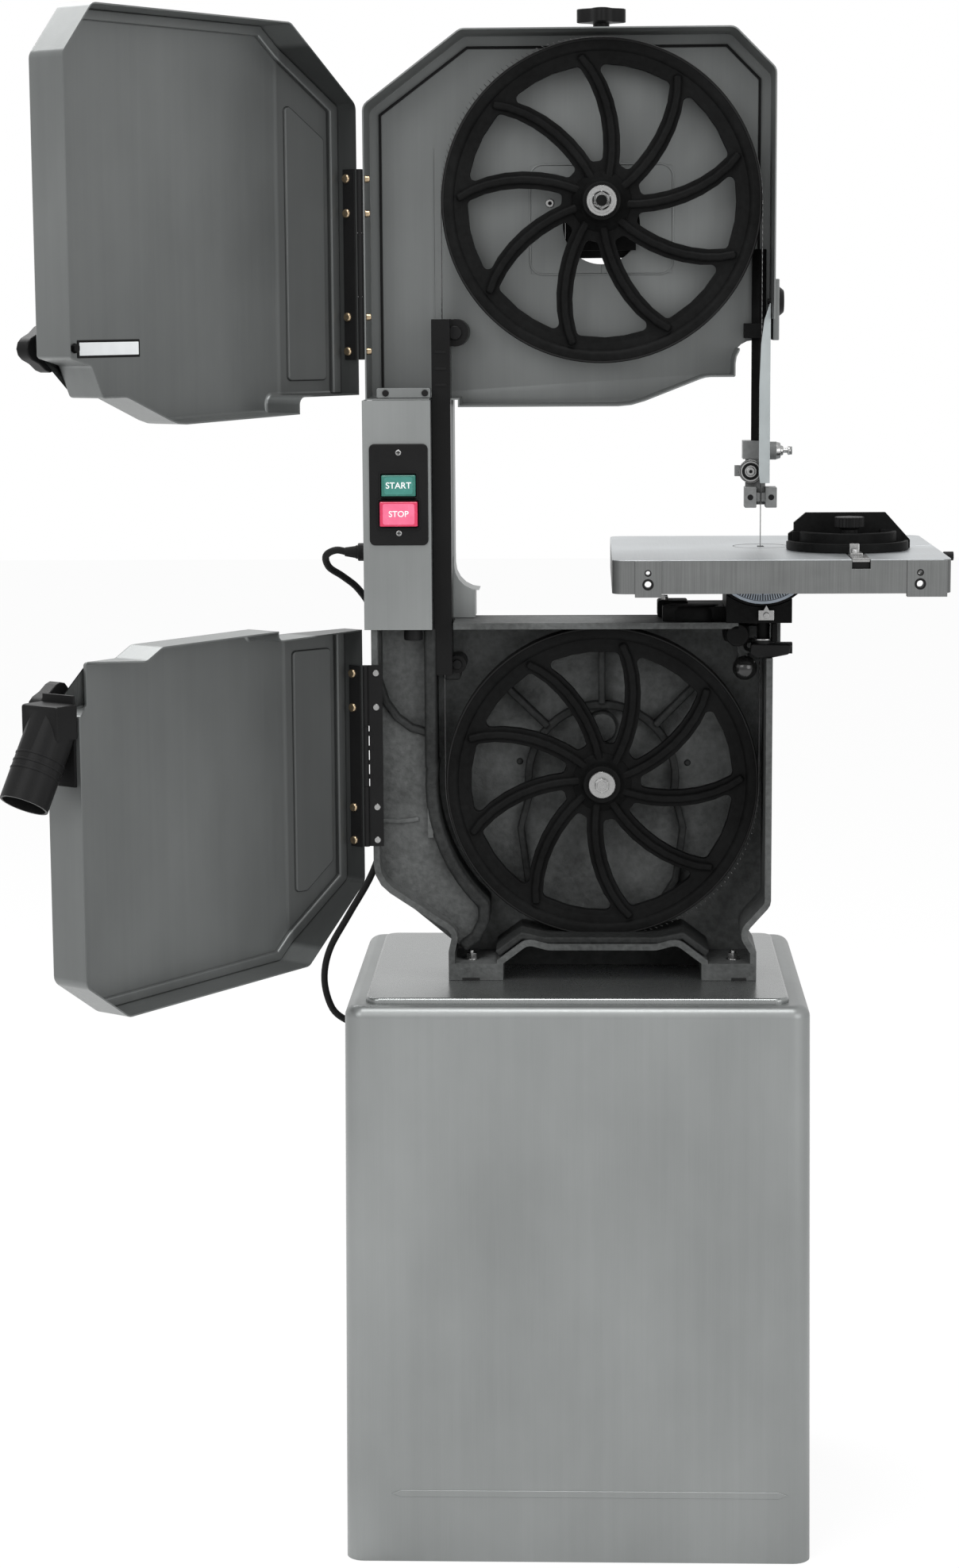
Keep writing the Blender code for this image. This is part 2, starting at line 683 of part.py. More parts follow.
def upper_housing():
    """Sheet pan round the upper wheel, with its belly rising to the blade's exit."""
    left, right = FRAME_LEFT, FRAME_RIGHT
    low = HOUSING_BOTTOM
    notch = COLUMN_X0 + COLUMN_W + 8 * MM
    outline = rounded(
        [
            (left, low, 0),
            (left, HOUSING_TOP - 80 * MM, 12 * MM),
            (left + 106 * MM, HOUSING_TOP, 12 * MM),
            (right - 45 * MM, HOUSING_TOP, 12 * MM),
            (right, HOUSING_TOP - 45 * MM, 12 * MM),
            (right, low + 61.5 * MM, 0),
            (BLADE_X - 30.5 * MM, low + 61.5 * MM, 24 * MM),
            (BLADE_X - 30.5 * MM, low + 23 * MM, 2 * MM),
            (BLADE_X - 63 * MM, low + 23 * MM, 30 * MM),
            (BLADE_X - 143 * MM, low - 8 * MM, 80 * MM),
            (notch, low - 8 * MM, 0),
            (notch, low, 0),
        ]
    )
    housing = pan("upper_housing", SHEET_GREY, outline, (FRAME_FRONT - 2 * MM, FRAME_BACK), SHEET)
    inner = FRAME_BACK - SHEET - 1 * MM
    exit_x = (BLADE_X - 26 * MM, right + 10 * MM)
    cut(housing, box("blade_exit", None, exit_x, (-80 * MM, inner), (low + 10 * MM, low + 85 * MM)))
    notch_x = (COVER_X1 - 1 * MM, COLUMN_X0 + COLUMN_W + 1 * MM)
    cut(housing, box("housing_blade_notch", None, notch_x, (-80 * MM, COLUMN_Y0 + CLEAR), (low - 20 * MM, low + 10 * MM)))
    window_x = 46 * MM
    window = box("slide_window", None, (-window_x, window_x), (FRAME_BACK - 20 * MM, FRAME_BACK + 20 * MM), (UPPER_Z - 67 * MM, UPPER_Z + 40 * MM))
    cut(housing, window)
    cut(housing, rod("lock_screw_hole", None, (right - 20 * MM, POST_Y, LOCK_Z), (right + 20 * MM, POST_Y, LOCK_Z), 4 * MM))


LOCK_Z = HOUSING_BOTTOM + 104 * MM


# Hinges and doors


def hinge(name, span, leaf_x, leaf_y, door_axis):
    """A pair of leaves on one pin: the frame leaf has the end knuckles and the pin."""
    low, high = span
    third = (high - low) / 3
    middle = (low + third, high - third)
    leaf = box(name + "_frame_leaf", PLASTIC_BLACK, leaf_x, leaf_y, span)
    relief_x = (HINGE_X - 5 * MM, HINGE_X + 4.2 * MM)
    relief_y = (HINGE_Y - 5 * MM, HINGE_Y + 4.2 * MM)
    cut(leaf, box(name + "_relief", None, relief_x, relief_y, middle))
    for k, (start, end) in enumerate(((low, middle[0] - CLEAR), (middle[1] + CLEAR, high))):
        base, top = (HINGE_X, HINGE_Y, start), (HINGE_X, HINGE_Y, end)
        join(leaf, rod(f"{name}_knuckle_{k}", None, base, top, HINGE_R, sides=16))
    base, top = (HINGE_X, HINGE_Y, low + 1 * MM), (HINGE_X, HINGE_Y, high - 1 * MM)
    join(leaf, rod(name + "_pin", None, base, top, HINGE_PIN_R, sides=12))
    door_leaf = box(
        name + "_door_leaf",
        PLASTIC_BLACK,
        (2.3 * MM, HINGE_OUT - CLEAR),
        (-24 * MM, -1 * MM),
        middle,
        door_axis,
    )
    base, top = (0, 0, middle[0]), (0, 0, middle[1])
    join(door_leaf, rod(name + "_door_knuckle", None, base, top, HINGE_R, door_axis, sides=16))
    bore = rod(name + "_door_bore", None, (0, 0, low), (0, 0, high), HINGE_PIN_R + CLEAR, door_axis, sides=12)
    cut(door_leaf, bore)


def door(name, outline, axis, holes=()):
    """A sheet pan in its closed place on the hinge axis: local X across, local -Y outwards."""
    shell = pan(name, SHEET_GREY, outline, (0, -DOOR_DEPTH), DOOR_SHEET, axis)
    for hole in holes:
        cut(shell, hole)
    return shell


def lobed_knob(name, location, radius, height, lobes, axis, rotation, stem):
    """A star knob on a stem: its height runs along local Z from the seat."""
    points = []
    sides = lobes * 8
    for k in range(sides):
        turn = 2 * math.pi * k / sides
        reach = radius * (0.84 + 0.16 * math.cos(lobes * turn))
        points.append((reach * math.cos(turn), reach * math.sin(turn)))
    seat = Vector(location)
    up = Vector((0, 0, 1))
    up.rotate(Euler(rotation))
    middle = seat + up * (stem + height / 2)
    knob = place(name, curve_mesh(name, [points], height), PLASTIC_BLACK, middle, rotation, axis)
    join(knob, rod(name + "_stem", None, seat, seat + up * (stem + 1 * MM), radius * 0.4, axis))
    return knob


def upper_door():
    axis = empty("upper_door_axis", (HINGE_X, HINGE_Y, 0), (0, 0, -DOOR_OPEN))
    width = FRAME_RIGHT - HINGE_X
    low, top = HOUSING_BOTTOM, HOUSING_TOP
    outline = rounded(
        [
            (HINGE_OUT, low + 6 * MM, 0),
            (HINGE_OUT, top - 80 * MM, 12 * MM),
            (HINGE_OUT + 106 * MM, top, 12 * MM),
            (width - 43 * MM, top, 12 * MM),
            (width, top - 50 * MM, 12 * MM),
            (width, low + 53 * MM, 4 * MM),
            (width - 30 * MM, low + 45 * MM, 6 * MM),
            (width - 45 * MM, low + 13 * MM, 4 * MM),
            (width - 80 * MM, low + 13 * MM, 20 * MM),
            (width - 155 * MM, low - 17 * MM, 60 * MM),
            (HINGE_OUT + 100 * MM, low - 12 * MM, 0),
            (HINGE_OUT + 100 * MM, low + 6 * MM, 8 * MM),
        ]
    )
    latch = (width - 30 * MM, -DOOR_DEPTH - CLEAR, low + 62 * MM)
    door("upper_door", outline, axis)
    lobed_knob("upper_door_knob", latch, 26 * MM, 16 * MM, 3, axis, FRONT, 14 * MM)
    leaf_x = (HINGE_X + 2.3 * MM, FRAME_LEFT - CLEAR)
    hinge("upper_hinge", (low + 44 * MM, low + 248 * MM), leaf_x, (HINGE_Y, HINGE_Y + 26 * MM), axis)


PORT_R = 25 * MM
PORT_BORE_R = 22.5 * MM
PORT_LEAN = math.radians(30)
PORT_LENGTH = 96 * MM


def lower_door():
    axis = empty("lower_door_axis", (HINGE_X, HINGE_Y, 0), (0, 0, -DOOR_OPEN))
    width = FRAME_RIGHT - HINGE_X
    top, low = CASTING_TOP - 6 * MM, LOWER_Z - WHEEL_R - 14 * MM
    outline = rounded(
        [
            (HINGE_OUT, top, 0),
            (HINGE_OUT, low + 84 * MM, 12 * MM),
            (HINGE_OUT + 98 * MM, low + 4 * MM, 12 * MM),
            (width - 62 * MM, low, 12 * MM),
            (width, low + 42 * MM, 12 * MM),
            (width, top - 2 * MM, 4 * MM),
            (width - 100 * MM, top - 2 * MM, 12 * MM),
            (width - 124 * MM, top + 10 * MM, 12 * MM),
            (HINGE_OUT + 140 * MM, top + 10 * MM, 0),
            (HINGE_OUT + 140 * MM, top, 6 * MM),
        ]
    )
    port_z = top - 50 * MM
    mouth = box("port_opening", None, (width - 10 * MM, width + 10 * MM), (-42 * MM, -8 * MM), (port_z - 36 * MM, port_z + 14 * MM), axis)
    door("lower_door", outline, axis, [mouth])
    dust_port(axis, width, port_z)
    latch = (width - 32 * MM, -DOOR_DEPTH - CLEAR, top - 46 * MM)
    lobed_knob("lower_door_knob", latch, 26 * MM, 16 * MM, 3, axis, FRONT, 14 * MM)
    leaf_y = (FRAME_FRONT - 1.8 * MM, FRAME_FRONT - CLEAR)
    hinge("lower_hinge", (LOWER_Z - 66 * MM, LOWER_Z + 137 * MM), (HINGE_X, HINGE_X + 19 * MM), leaf_y, axis)


def dust_port(axis, width, port_z):
    """Hood on the door's free edge, with a round spigot leaning down and outwards."""
    seat = width + CLEAR
    middle = -26 * MM
    plate_low, plate_high = port_z - 70 * MM, port_z + 22 * MM
    hood = box("dust_port", PLASTIC_BLACK, (seat, seat + 3 * MM), (middle - 21 * MM, middle + 21 * MM), (plate_low, plate_high), axis)
    half = PORT_R
    block = box("port_hood", None, (seat, seat + 30 * MM), (middle - half, middle + half), (port_z - 22 * MM, port_z + 14 * MM), axis, 3 * MM)
    lean = Vector((math.sin(PORT_LEAN), 0, -math.cos(PORT_LEAN)))
    top = Vector((seat + 6 * MM, middle, port_z))
    end = top + lean * PORT_LENGTH
    tube = rod("port_tube", None, top, end, PORT_R, axis, sides=32)
    bore = rod("port_bore", None, top - lean * 2 * MM, end + lean * 10 * MM, PORT_BORE_R, axis, sides=32)
    behind = box("port_behind", None, (seat - 80 * MM, seat), (middle - 60 * MM, middle + 60 * MM), (port_z - 120 * MM, port_z + 80 * MM), axis)
    way_in = box("port_way_in", None, (seat - 10 * MM, seat + 8 * MM), (-40 * MM, -10 * MM), (port_z - 34 * MM, port_z + 8 * MM), axis)
    join(hood, block)
    join(hood, tube)
    cut(hood, behind)
    cut(hood, bore)
    cut(hood, way_in)


# Wheels and blade


def spoke_angle(start, radius):
    """Where a spoke's middle line lies at a radius: it sweeps back from its rim end."""
    inner, outer = 0.12 * WHEEL_R, 0.92 * WHEEL_R
    share = max(0.0, 1 - (radius - inner) / (outer - inner))
    return start - SPOKE_SWEEP * share**0.85


def spoke_windows(start):
    inner, outer, steps = 0.25 * WHEEL_R, 0.84 * WHEEL_R, 5
    pitch = 2 * math.pi / SPOKES
    radii = [inner + (outer - inner) * k / steps for k in range(steps + 1)]
    loops = []
    for spoke in range(SPOKES):
        angle = start + pitch * spoke
        side = [(r, spoke_angle(angle, r) + SPOKE_W / 2 / r) for r in radii]
        other = [(r, spoke_angle(angle, r) + pitch - SPOKE_W / 2 / r) for r in reversed(radii)]
        arc = [(outer, side[-1][1] + (other[0][1] - side[-1][1]) * k / 3) for k in (1, 2)]
        loops.append([(r * math.cos(a), r * math.sin(a)) for r, a in side + arc + other])
    return loops


def band_wheel(name, start, height, hub_front, hub_back, bore, parent=None):
    """Cast wheel with swept spokes, its rubber tyre and a bored hub."""
    rim_r = WHEEL_R - TYRE
    steps = 56
    profile = ring(rim_r, 0.85 * WHEEL_R, WHEEL_W / 2, -WHEEL_W / 2)
    wheel = turned(name, CAST_BLACK, profile, (0, 0, height), steps=steps)
    web = [circle(0, 0, 0.9 * WHEEL_R, 36), *spoke_windows(start)]
    join(wheel, plate(name + "_web", None, web, (-8 * MM, 4 * MM), (0, height)))
    hub = [(0, hub_front), (21 * MM, hub_front), (30 * MM, 8 * MM), (30 * MM, 0), (22 * MM, hub_back), (0, hub_back)]
    join(wheel, turned(name + "_hub", None, hub, (0, 0, height), closed=False))
    cut(wheel, rod(name + "_bore", None, (0, -60 * MM, height), (0, 60 * MM, height), bore, sides=32))
    tyre = ring(WHEEL_R, rim_r + CLEAR, WHEEL_W / 2, -WHEEL_W / 2)
    turned(name.replace("wheel", "tyre"), RUBBER_BLACK, tyre, (0, 0, height), steps=steps)


UPPER_SHAFT_R = 10 * MM
LOWER_HUB_FRONT = 30 * MM
UPPER_HUB_FRONT = 38 * MM


def wheels():
    band_wheel("upper_wheel", UPPER_SPOKE_START, UPPER_Z, UPPER_HUB_FRONT, -24 * MM, UPPER_SHAFT_R + CLEAR)
    band_wheel("lower_wheel", LOWER_SPOKE_START, LOWER_Z, LOWER_HUB_FRONT, -20 * MM, SHAFT_R + CLEAR)
    front = LOWER_HUB_FRONT + CLEAR
    profile = [
        (0, front + 7 * MM),
        (8 * MM, front + 7 * MM),
        (8 * MM, front + 3 * MM),
        (15 * MM, front + 3 * MM),
        (15 * MM, front),
        (SHAFT_R, front),
        (SHAFT_R, -118 * MM),
        (0, -118 * MM),
    ]
    turned("lower_shaft", STEEL_BRIGHT, profile, (0, 0, LOWER_Z), closed=False)
    front = UPPER_HUB_FRONT + CLEAR
    profile = [
        (0, front + 10 * MM),
        (6 * MM, front + 10 * MM),
        (6 * MM, front + 8 * MM),
        (10 * MM, front + 8 * MM),
        (10 * MM, front + 2.5 * MM),
        (17 * MM, front + 2.5 * MM),
        (17 * MM, front),
        (UPPER_SHAFT_R, front),
        (UPPER_SHAFT_R, -30 * MM),
        (0, -30 * MM),
    ]
    shaft = turned("upper_shaft", STEEL_BRIGHT, profile, (0, 0, UPPER_Z), closed=False)
    block_z = (UPPER_Z - 52 * MM, UPPER_Z + 22 * MM)
    block = box("tilt_block", None, (-38 * MM, 38 * MM), (28 * MM, SLIDE_FRONT - CLEAR - 1.5 * MM), block_z)
    join(shaft, block)
    ridge_y = SLIDE_FRONT - CLEAR - TILT_RIDGE_R
    ridge_x = 36 * MM
    ridge = rod("tilt_ridge", None, (-ridge_x, ridge_y, UPPER_Z), (ridge_x, ridge_y, UPPER_Z), TILT_RIDGE_R)
    join(shaft, ridge)


SLIDE_FRONT = FRAME_BACK + 3 * MM + CLEAR
TILT_RIDGE_R = 4 * MM  # the ridge that the upper shaft's block rocks on


def saw_blade(arc=48):
    """The band: two straight runs and two half turns round the tyres."""
    loops = []
    for radius in (BLADE_R + BLADE_T, BLADE_R):
        loop = []
        for centre, first in ((UPPER_Z, 0), (LOWER_Z, math.pi)):
            for k in range(arc + 1):
                turn = first + math.pi * k / arc
                loop.append((radius * math.cos(turn), centre + radius * math.sin(turn)))
        loops.append(loop)
    plate("saw_blade", STEEL_BLADE, loops, (-BLADE_W / 2, BLADE_W / 2))


# Upper wheel tension and tracking


def tension():
    """Slide behind the housing that carries the upper wheel, and the screw that lifts it."""
    back = FRAME_BACK + CLEAR
    slide_y = (SLIDE_FRONT, FRAME_BACK + 27 * MM)
    slide_x, slide_z = 40 * MM, (UPPER_Z - 60 * MM, UPPER_Z + 46 * MM)
    slide = box("wheel_slide", CAST_BLACK, (-slide_x, slide_x), slide_y, slide_z)
    screw_y = sum(slide_y) / 2
    well = rod("screw_well", None, (0, screw_y, UPPER_Z - 20 * MM), (0, screw_y, slide_z[1] + 10 * MM), 5 * MM + CLEAR)
    cut(slide, well)
    rail_x = slide_x + CLEAR
    top = slide_z[1] + 46 * MM
    outline = [
        (-rail_x - 10 * MM, slide_z[0] - 16 * MM),
        (-rail_x, slide_z[0] - 16 * MM),
        (-rail_x, top - 10 * MM),
        (rail_x, top - 10 * MM),
        (rail_x, slide_z[0] - 16 * MM),
        (rail_x + 10 * MM, slide_z[0] - 16 * MM),
        (rail_x + 10 * MM, top),
        (-rail_x - 10 * MM, top),
    ]
    bracket = plate("tension_bracket", CAST_BLACK, [outline], (back, slide_y[1] + 3 * MM))
    cut(bracket, rod("screw_hole", None, (0, screw_y, top - 20 * MM), (0, screw_y, top + 10 * MM), 5 * MM + CLEAR))
    spring_low, spring_high = slide_z[1] + CLEAR, top - 10 * MM - 13 * MM
    tension_spring(screw_y, spring_low, spring_high)
    knob_z = HOUSING_TOP + 13 * MM
    profile = [
        (0, knob_z + 2 * MM),
        (9 * MM, knob_z + 2 * MM),
        (9 * MM, top + 8 * MM),
        (11 * MM, top + 8 * MM),
        (11 * MM, top + CLEAR),
        (5 * MM, top + CLEAR),
        (5 * MM, UPPER_Z - 8 * MM),
        (0, UPPER_Z - 8 * MM),
    ]
    screw = turned("tension_knob", PLASTIC_BLACK, profile, (0, screw_y, 0), (0, 0, 0), closed=False)
    lobes = [
        ((27 * MM) * (0.84 + 0.16 * math.cos(4 * a)) * math.cos(a), (27 * MM) * (0.84 + 0.16 * math.cos(4 * a)) * math.sin(a))
        for a in (2 * math.pi * k / 32 for k in range(32))
    ]
    grip = place("tension_grip", curve_mesh("tension_grip", [lobes], 15 * MM), None, (0, screw_y, knob_z + 7.5 * MM))
    join(screw, grip)
    knob_y = slide_y[1] + CLEAR
    tracking_z = UPPER_Z - 40 * MM
    lobed_knob("tracking_knob", (0, knob_y, tracking_z), 22 * MM, 14 * MM, 5, None, (-math.pi / 2, 0, 0), 22 * MM)


def tension_spring(screw_y, low, high):
    """A coil round the tension screw, between the slide and the bracket."""
    turns, coil_r, wire_r, sides = 4, 8.2 * MM, 1.4 * MM, 14
    count = turns * sides
    rise = high - low - 2 * wire_r
    curve = bpy.data.curves.new("tension_spring", "CURVE")
    curve.dimensions = "3D"
    curve.bevel_depth = wire_r
    curve.bevel_resolution = 1
    curve.use_fill_caps = True
    spline = curve.splines.new("POLY")
    spline.points.add(count)
    for k, point in enumerate(spline.points):
        turn = 2 * math.pi * k / sides
        height = low + wire_r + rise * k / count
        point.co = (coil_r * math.cos(turn), coil_r * math.sin(turn), height, 1)
    spring = bpy.data.objects.new("tension_spring", curve)
    spring.location = (0, screw_y, 0)
    spring.parent = SAW
    curve.materials.append(STEEL_BRIGHT)
    PARTS.objects.link(spring)


# Blade guides


def guide_post():
    """Post that rises and falls, and the carrier with the guides on its lower end."""
    rod("guide_post", CAST_BLACK, (POST_X, POST_Y, GUIDE_Z + 5 * MM + CLEAR), (POST_X, POST_Y, GUIDE_Z + 230 * MM), POST_R, sides=6)
    socket = box(
        "guide_post_socket",
        CAST_BLACK,
        (BLADE_X - 18 * MM, FRAME_RIGHT - 3 * MM),
        (12 * MM, FRAME_BACK - SHEET - CLEAR),
        (HOUSING_BOTTOM + 64 * MM, HOUSING_BOTTOM + 80 * MM),
    )
    arm = box("lock_arm", None, (FRAME_RIGHT - 4 * MM, FRAME_RIGHT + 7 * MM), (12 * MM, 42 * MM), (HOUSING_BOTTOM + 64 * MM, HOUSING_BOTTOM + 80 * MM))
    lock_plate = box("lock_plate", None, (FRAME_RIGHT + CLEAR, FRAME_RIGHT + 7 * MM), (8 * MM, 48 * MM), (HOUSING_BOTTOM + 62 * MM, HOUSING_BOTTOM + 128 * MM))
    join(socket, arm)
    join(socket, lock_plate)
    cut(socket, rod("post_way", None, (POST_X, POST_Y, HOUSING_BOTTOM), (POST_X, POST_Y, HOUSING_BOTTOM + 100 * MM), POST_R + CLEAR, sides=6))
    cut(socket, rod("lock_way", None, (FRAME_RIGHT - 10 * MM, POST_Y, LOCK_Z), (FRAME_RIGHT + 20 * MM, POST_Y, LOCK_Z), 3 * MM + CLEAR))
    knob_x = FRAME_RIGHT + 7 * MM + CLEAR
    knob = rod("guide_lock_knob", PLASTIC_BLACK, (knob_x, POST_Y, LOCK_Z), (knob_x + 6 * MM, POST_Y, LOCK_Z), 17 * MM, sides=24, end_radius=12 * MM)
    tip = POST_X + POST_R + CLEAR
    join(knob, rod("guide_lock_screw", None, (tip, POST_Y, LOCK_Z), (knob_x + 2 * MM, POST_Y, LOCK_Z), 3 * MM))


GUIDE_Z = HOUSING_BOTTOM - 69 * MM  # underside of the carrier's clamp block
GUIDE_BLOCK_Z = (GUIDE_Z - 52.5 * MM, GUIDE_Z - 30 * MM)
BEARING_Z = GUIDE_Z - 13.3 * MM
GUARD_X = (BLADE_X - 3 * MM, BLADE_X + 9 * MM)


def guide_carrier():
    left = BLADE_X - 19 * MM
    carrier = box("guide_carrier", CAST_GREY, (left, GUARD_X[1] - SHEET - CLEAR), (14 * MM, 41 * MM), (GUIDE_Z, GUIDE_Z + 20 * MM))
    stem = box("guide_stem", None, (left + 3 * MM, BLADE_X + 6 * MM), (15.5 * MM, 26 * MM), (GUIDE_BLOCK_Z[0] + 2 * MM, GUIDE_Z + 2 * MM))
    join(carrier, stem)
    stub = box("guide_stub", None, (left - 9 * MM, left + 5 * MM), (15.5 * MM, 24 * MM), (GUIDE_Z - 19 * MM, GUIDE_Z - 7 * MM))
    join(carrier, stub)
    cut(carrier, rod("post_seat", None, (POST_X, POST_Y, GUIDE_Z + 5 * MM), (POST_X, POST_Y, GUIDE_Z + 40 * MM), POST_R + CLEAR, sides=6))
    height = GUIDE_Z + 9 * MM
    screw_y = 20 * MM
    rod_end = BLADE_X + 33 * MM
    join(carrier, rod("guard_screw", None, (GUARD_X[1] - 3 * MM, screw_y, height), (rod_end, screw_y, height), 2 * MM, sides=12))
    join(carrier, rod("guard_boss", None, (GUARD_X[1] + CLEAR, screw_y, height), (BLADE_X + 18 * MM, screw_y, height), 10 * MM))
    join(carrier, rod("guard_screw_head", None, (rod_end - 1 * MM, screw_y, height), (rod_end + 2.5 * MM, screw_y, height), 4.5 * MM, sides=16))
    bearing_x = BLADE_X - 10.7 * MM
    spindle = rod("bearing_spindle", None, (bearing_x, 6.5 * MM, BEARING_Z), (bearing_x, 20 * MM, BEARING_Z), 4 * MM, sides=16)
    join(carrier, spindle)
    turned("thrust_bearing", STEEL_BRIGHT, ring(13 * MM, 4 * MM + CLEAR, -7 * MM, -15 * MM), (bearing_x, 0, BEARING_Z), steps=28)
    guide_blocks(left)


def guide_blocks(left):
    """Square holders each side of the blade, with the guide pad reaching to the blade."""
    z = GUIDE_BLOCK_Z
    middle = sum(z) / 2
    for name, holder, pad in (
        ("guide_block_left", (left + 1 * MM, left + 14 * MM), (left + 13 * MM, BLADE_X - BLADE_T / 2 - 0.4 * MM)),
        ("guide_block_right", (BLADE_X + 5 * MM, BLADE_X + 17.5 * MM), (BLADE_X + BLADE_T / 2 + 0.4 * MM, BLADE_X + 6 * MM)),
    ):
        block = box(name, CAST_GREY, holder, (-10 * MM, 15.5 * MM - CLEAR), z)
        join(block, box(name + "_pad", None, pad, (-5 * MM, 5 * MM), (middle - 5 * MM, middle + 5 * MM)))


def blade_guard():
    """Bent sheet in front of the blade, clamped to the carrier's right side."""
    low, high = GUIDE_Z - 25 * MM, GUIDE_Z + 171 * MM
    front = (-17.5 * MM, -16 * MM)
    x = GUARD_X
    outline = [
        (x[0] + 1.5 * MM, low),
        (x[1], low),
        (x[1], high),
        (x[1] - 1 * MM, high),
        (x[0] + 5 * MM, high - 18 * MM),
        (x[0] + 1.5 * MM, high - 45 * MM),
        (x[0], high - 90 * MM),
        (x[0], low + 10 * MM),
    ]
    guard = plate("blade_guard", ZINC_PALE, [outline], front)
    join(guard, box("guard_side", None, (x[1] - SHEET, x[1]), (front[0], 30 * MM), (GUIDE_Z, GUIDE_Z + 20 * MM)))
    join(guard, box("guard_edge", None, (x[1] - SHEET, x[1]), (front[0], 4 * MM), (low, high - 12 * MM)))
    height = GUIDE_Z + 9 * MM
    cut(guard, rod("guard_screw_way", None, (x[1] - 10 * MM, 20 * MM, height), (x[1] + 10 * MM, 20 * MM, height), 2 * MM + CLEAR, sides=12))


# Table, trunnion and lower guides

SUPPORT_X0 = BLADE_X - 39.7 * MM
SUPPORT_X1 = BLADE_X + 32.3 * MM
SUPPORT_TOP = TABLE_Z - 47.6 * MM
STEM_X = BLADE_X + 2.3 * MM
STEM_Y = -30 * MM


def table():
    x, y = (TABLE_X0, TABLE_X1), (TABLE_FRONT, TABLE_BACK)
    corner = 14 * MM
    outline = rounded([(x[0], y[0], corner), (x[1], y[0], corner), (x[1], y[1], corner), (x[0], y[1], corner)])
    top = place("table", curve_mesh("table", [outline], TABLE_T), IRON_GROUND, (0, 0, TABLE_Z - TABLE_T / 2))
    wall = 9 * MM
    inside = box(
        "table_inside",
        None,
        (x[0] + wall, x[1] - wall),
        (y[0] + wall, y[1] - wall),
        (TABLE_Z - TABLE_T - 10 * MM, TABLE_Z - TABLE_PLATE),
    )
    cut(top, inside)
    half = SLOT_W / 2
    rib = box(
        "slot_rib",
        None,
        (SLOT_X - half - 7 * MM, SLOT_X + half + 7 * MM),
        (y[0] + wall / 2, y[1] - wall / 2),
        (TABLE_Z - SLOT_DEPTH - 6 * MM, TABLE_Z - TABLE_PLATE + 1 * MM),
    )
    join(top, rib)
    for name, pad_x in (("left", (x[0] + 24 * MM, x[0] + 52 * MM)), ("right", (x[1] - 47 * MM, x[1] - 5 * MM))):
        pad = box(name + "_rail_pad", None, pad_x, (y[0] - 1.5 * MM, y[0] + wall), (TABLE_Z - TABLE_T - 3.5 * MM, TABLE_Z - 1 * MM))
        join(top, pad)
        hole_x = pad_x[0] + 13.7 * MM
        for size, radius, down in (("pin", 2.3 * MM, 13.5 * MM), ("bolt", 3.6 * MM, 25.5 * MM)):
            hole = rod(
                f"{name}_{size}_hole",
                None,
                (hole_x, y[0] - 10 * MM, TABLE_Z - down),
                (hole_x, y[0] + wall + 10 * MM, TABLE_Z - down),
                radius,
                sides=16,
            )
            cut(top, hole)
    slot = box("mitre_slot", None, (SLOT_X - half, SLOT_X + half), (y[0] - 10 * MM, y[1] + 10 * MM), (TABLE_Z - SLOT_DEPTH, TABLE_Z + 10 * MM))
    cut(top, slot)
    above = TABLE_Z + 10 * MM
    seat = rod("insert_seat", None, (BLADE_X, 0, TABLE_Z - INSERT_T - CLEAR), (BLADE_X, 0, above), INSERT_R + CLEAR, sides=48)
    cut(top, seat)
    cut(top, rod("insert_hole", None, (BLADE_X, 0, TABLE_Z - 40 * MM), (BLADE_X, 0, above), INSERT_R - 5 * MM, sides=48))
    cut(top, box("blade_way", None, (BLADE_X, x[1] + 10 * MM), (-1.5 * MM, 1.5 * MM), (TABLE_Z - 50 * MM, above)))
    pin_y, pin_z = 0, TABLE_Z - 12 * MM
    cut(top, rod("pin_hole", None, (x[1] - 30 * MM, pin_y, pin_z), (x[1] + 10 * MM, pin_y, pin_z), 2.5 * MM + CLEAR, sides=16))
    pin = rod("table_pin", CAST_BLACK, (x[1] - 28 * MM, pin_y, pin_z), (x[1] + 14 * MM, pin_y, pin_z), 2.5 * MM, sides=16)
    join(pin, rod("table_pin_head", None, (x[1] + 12 * MM, pin_y, pin_z), (x[1] + 23 * MM, pin_y, pin_z), 5 * MM, sides=16))
    table_insert()


def table_insert():
    """Round throat plate: its slot widens downwards, so that the table can tilt."""
    top, low = TABLE_Z - 0.1 * MM, TABLE_Z - INSERT_T
    insert = rod("table_insert", IRON_GROUND, (BLADE_X, 0, low), (BLADE_X, 0, top), INSERT_R, sides=48)

    def build(shape):
        bmesh.ops.create_cube(shape, size=1)
        for vert in shape.verts:
            width = 5 * MM if vert.co.z > 0 else 5 * MM + 3 * INSERT_T
            vert.co.x *= width
            vert.co.y *= 18 * MM
            vert.co.z *= INSERT_T + 2 * MM

    cut(insert, place("insert_slot", mesh_from("insert_slot", build), None, (BLADE_X, 0, TABLE_Z - INSERT_T / 2)))


def half_round(radius, drop, count=20):
    """The part of a disc that lies more than drop below its centre."""
    reach = math.acos(drop / radius)
    turns = [reach * (2 * k / count - 1) for k in range(count + 1)]
    return [(radius * math.sin(turn), -radius * math.cos(turn)) for turn in turns]


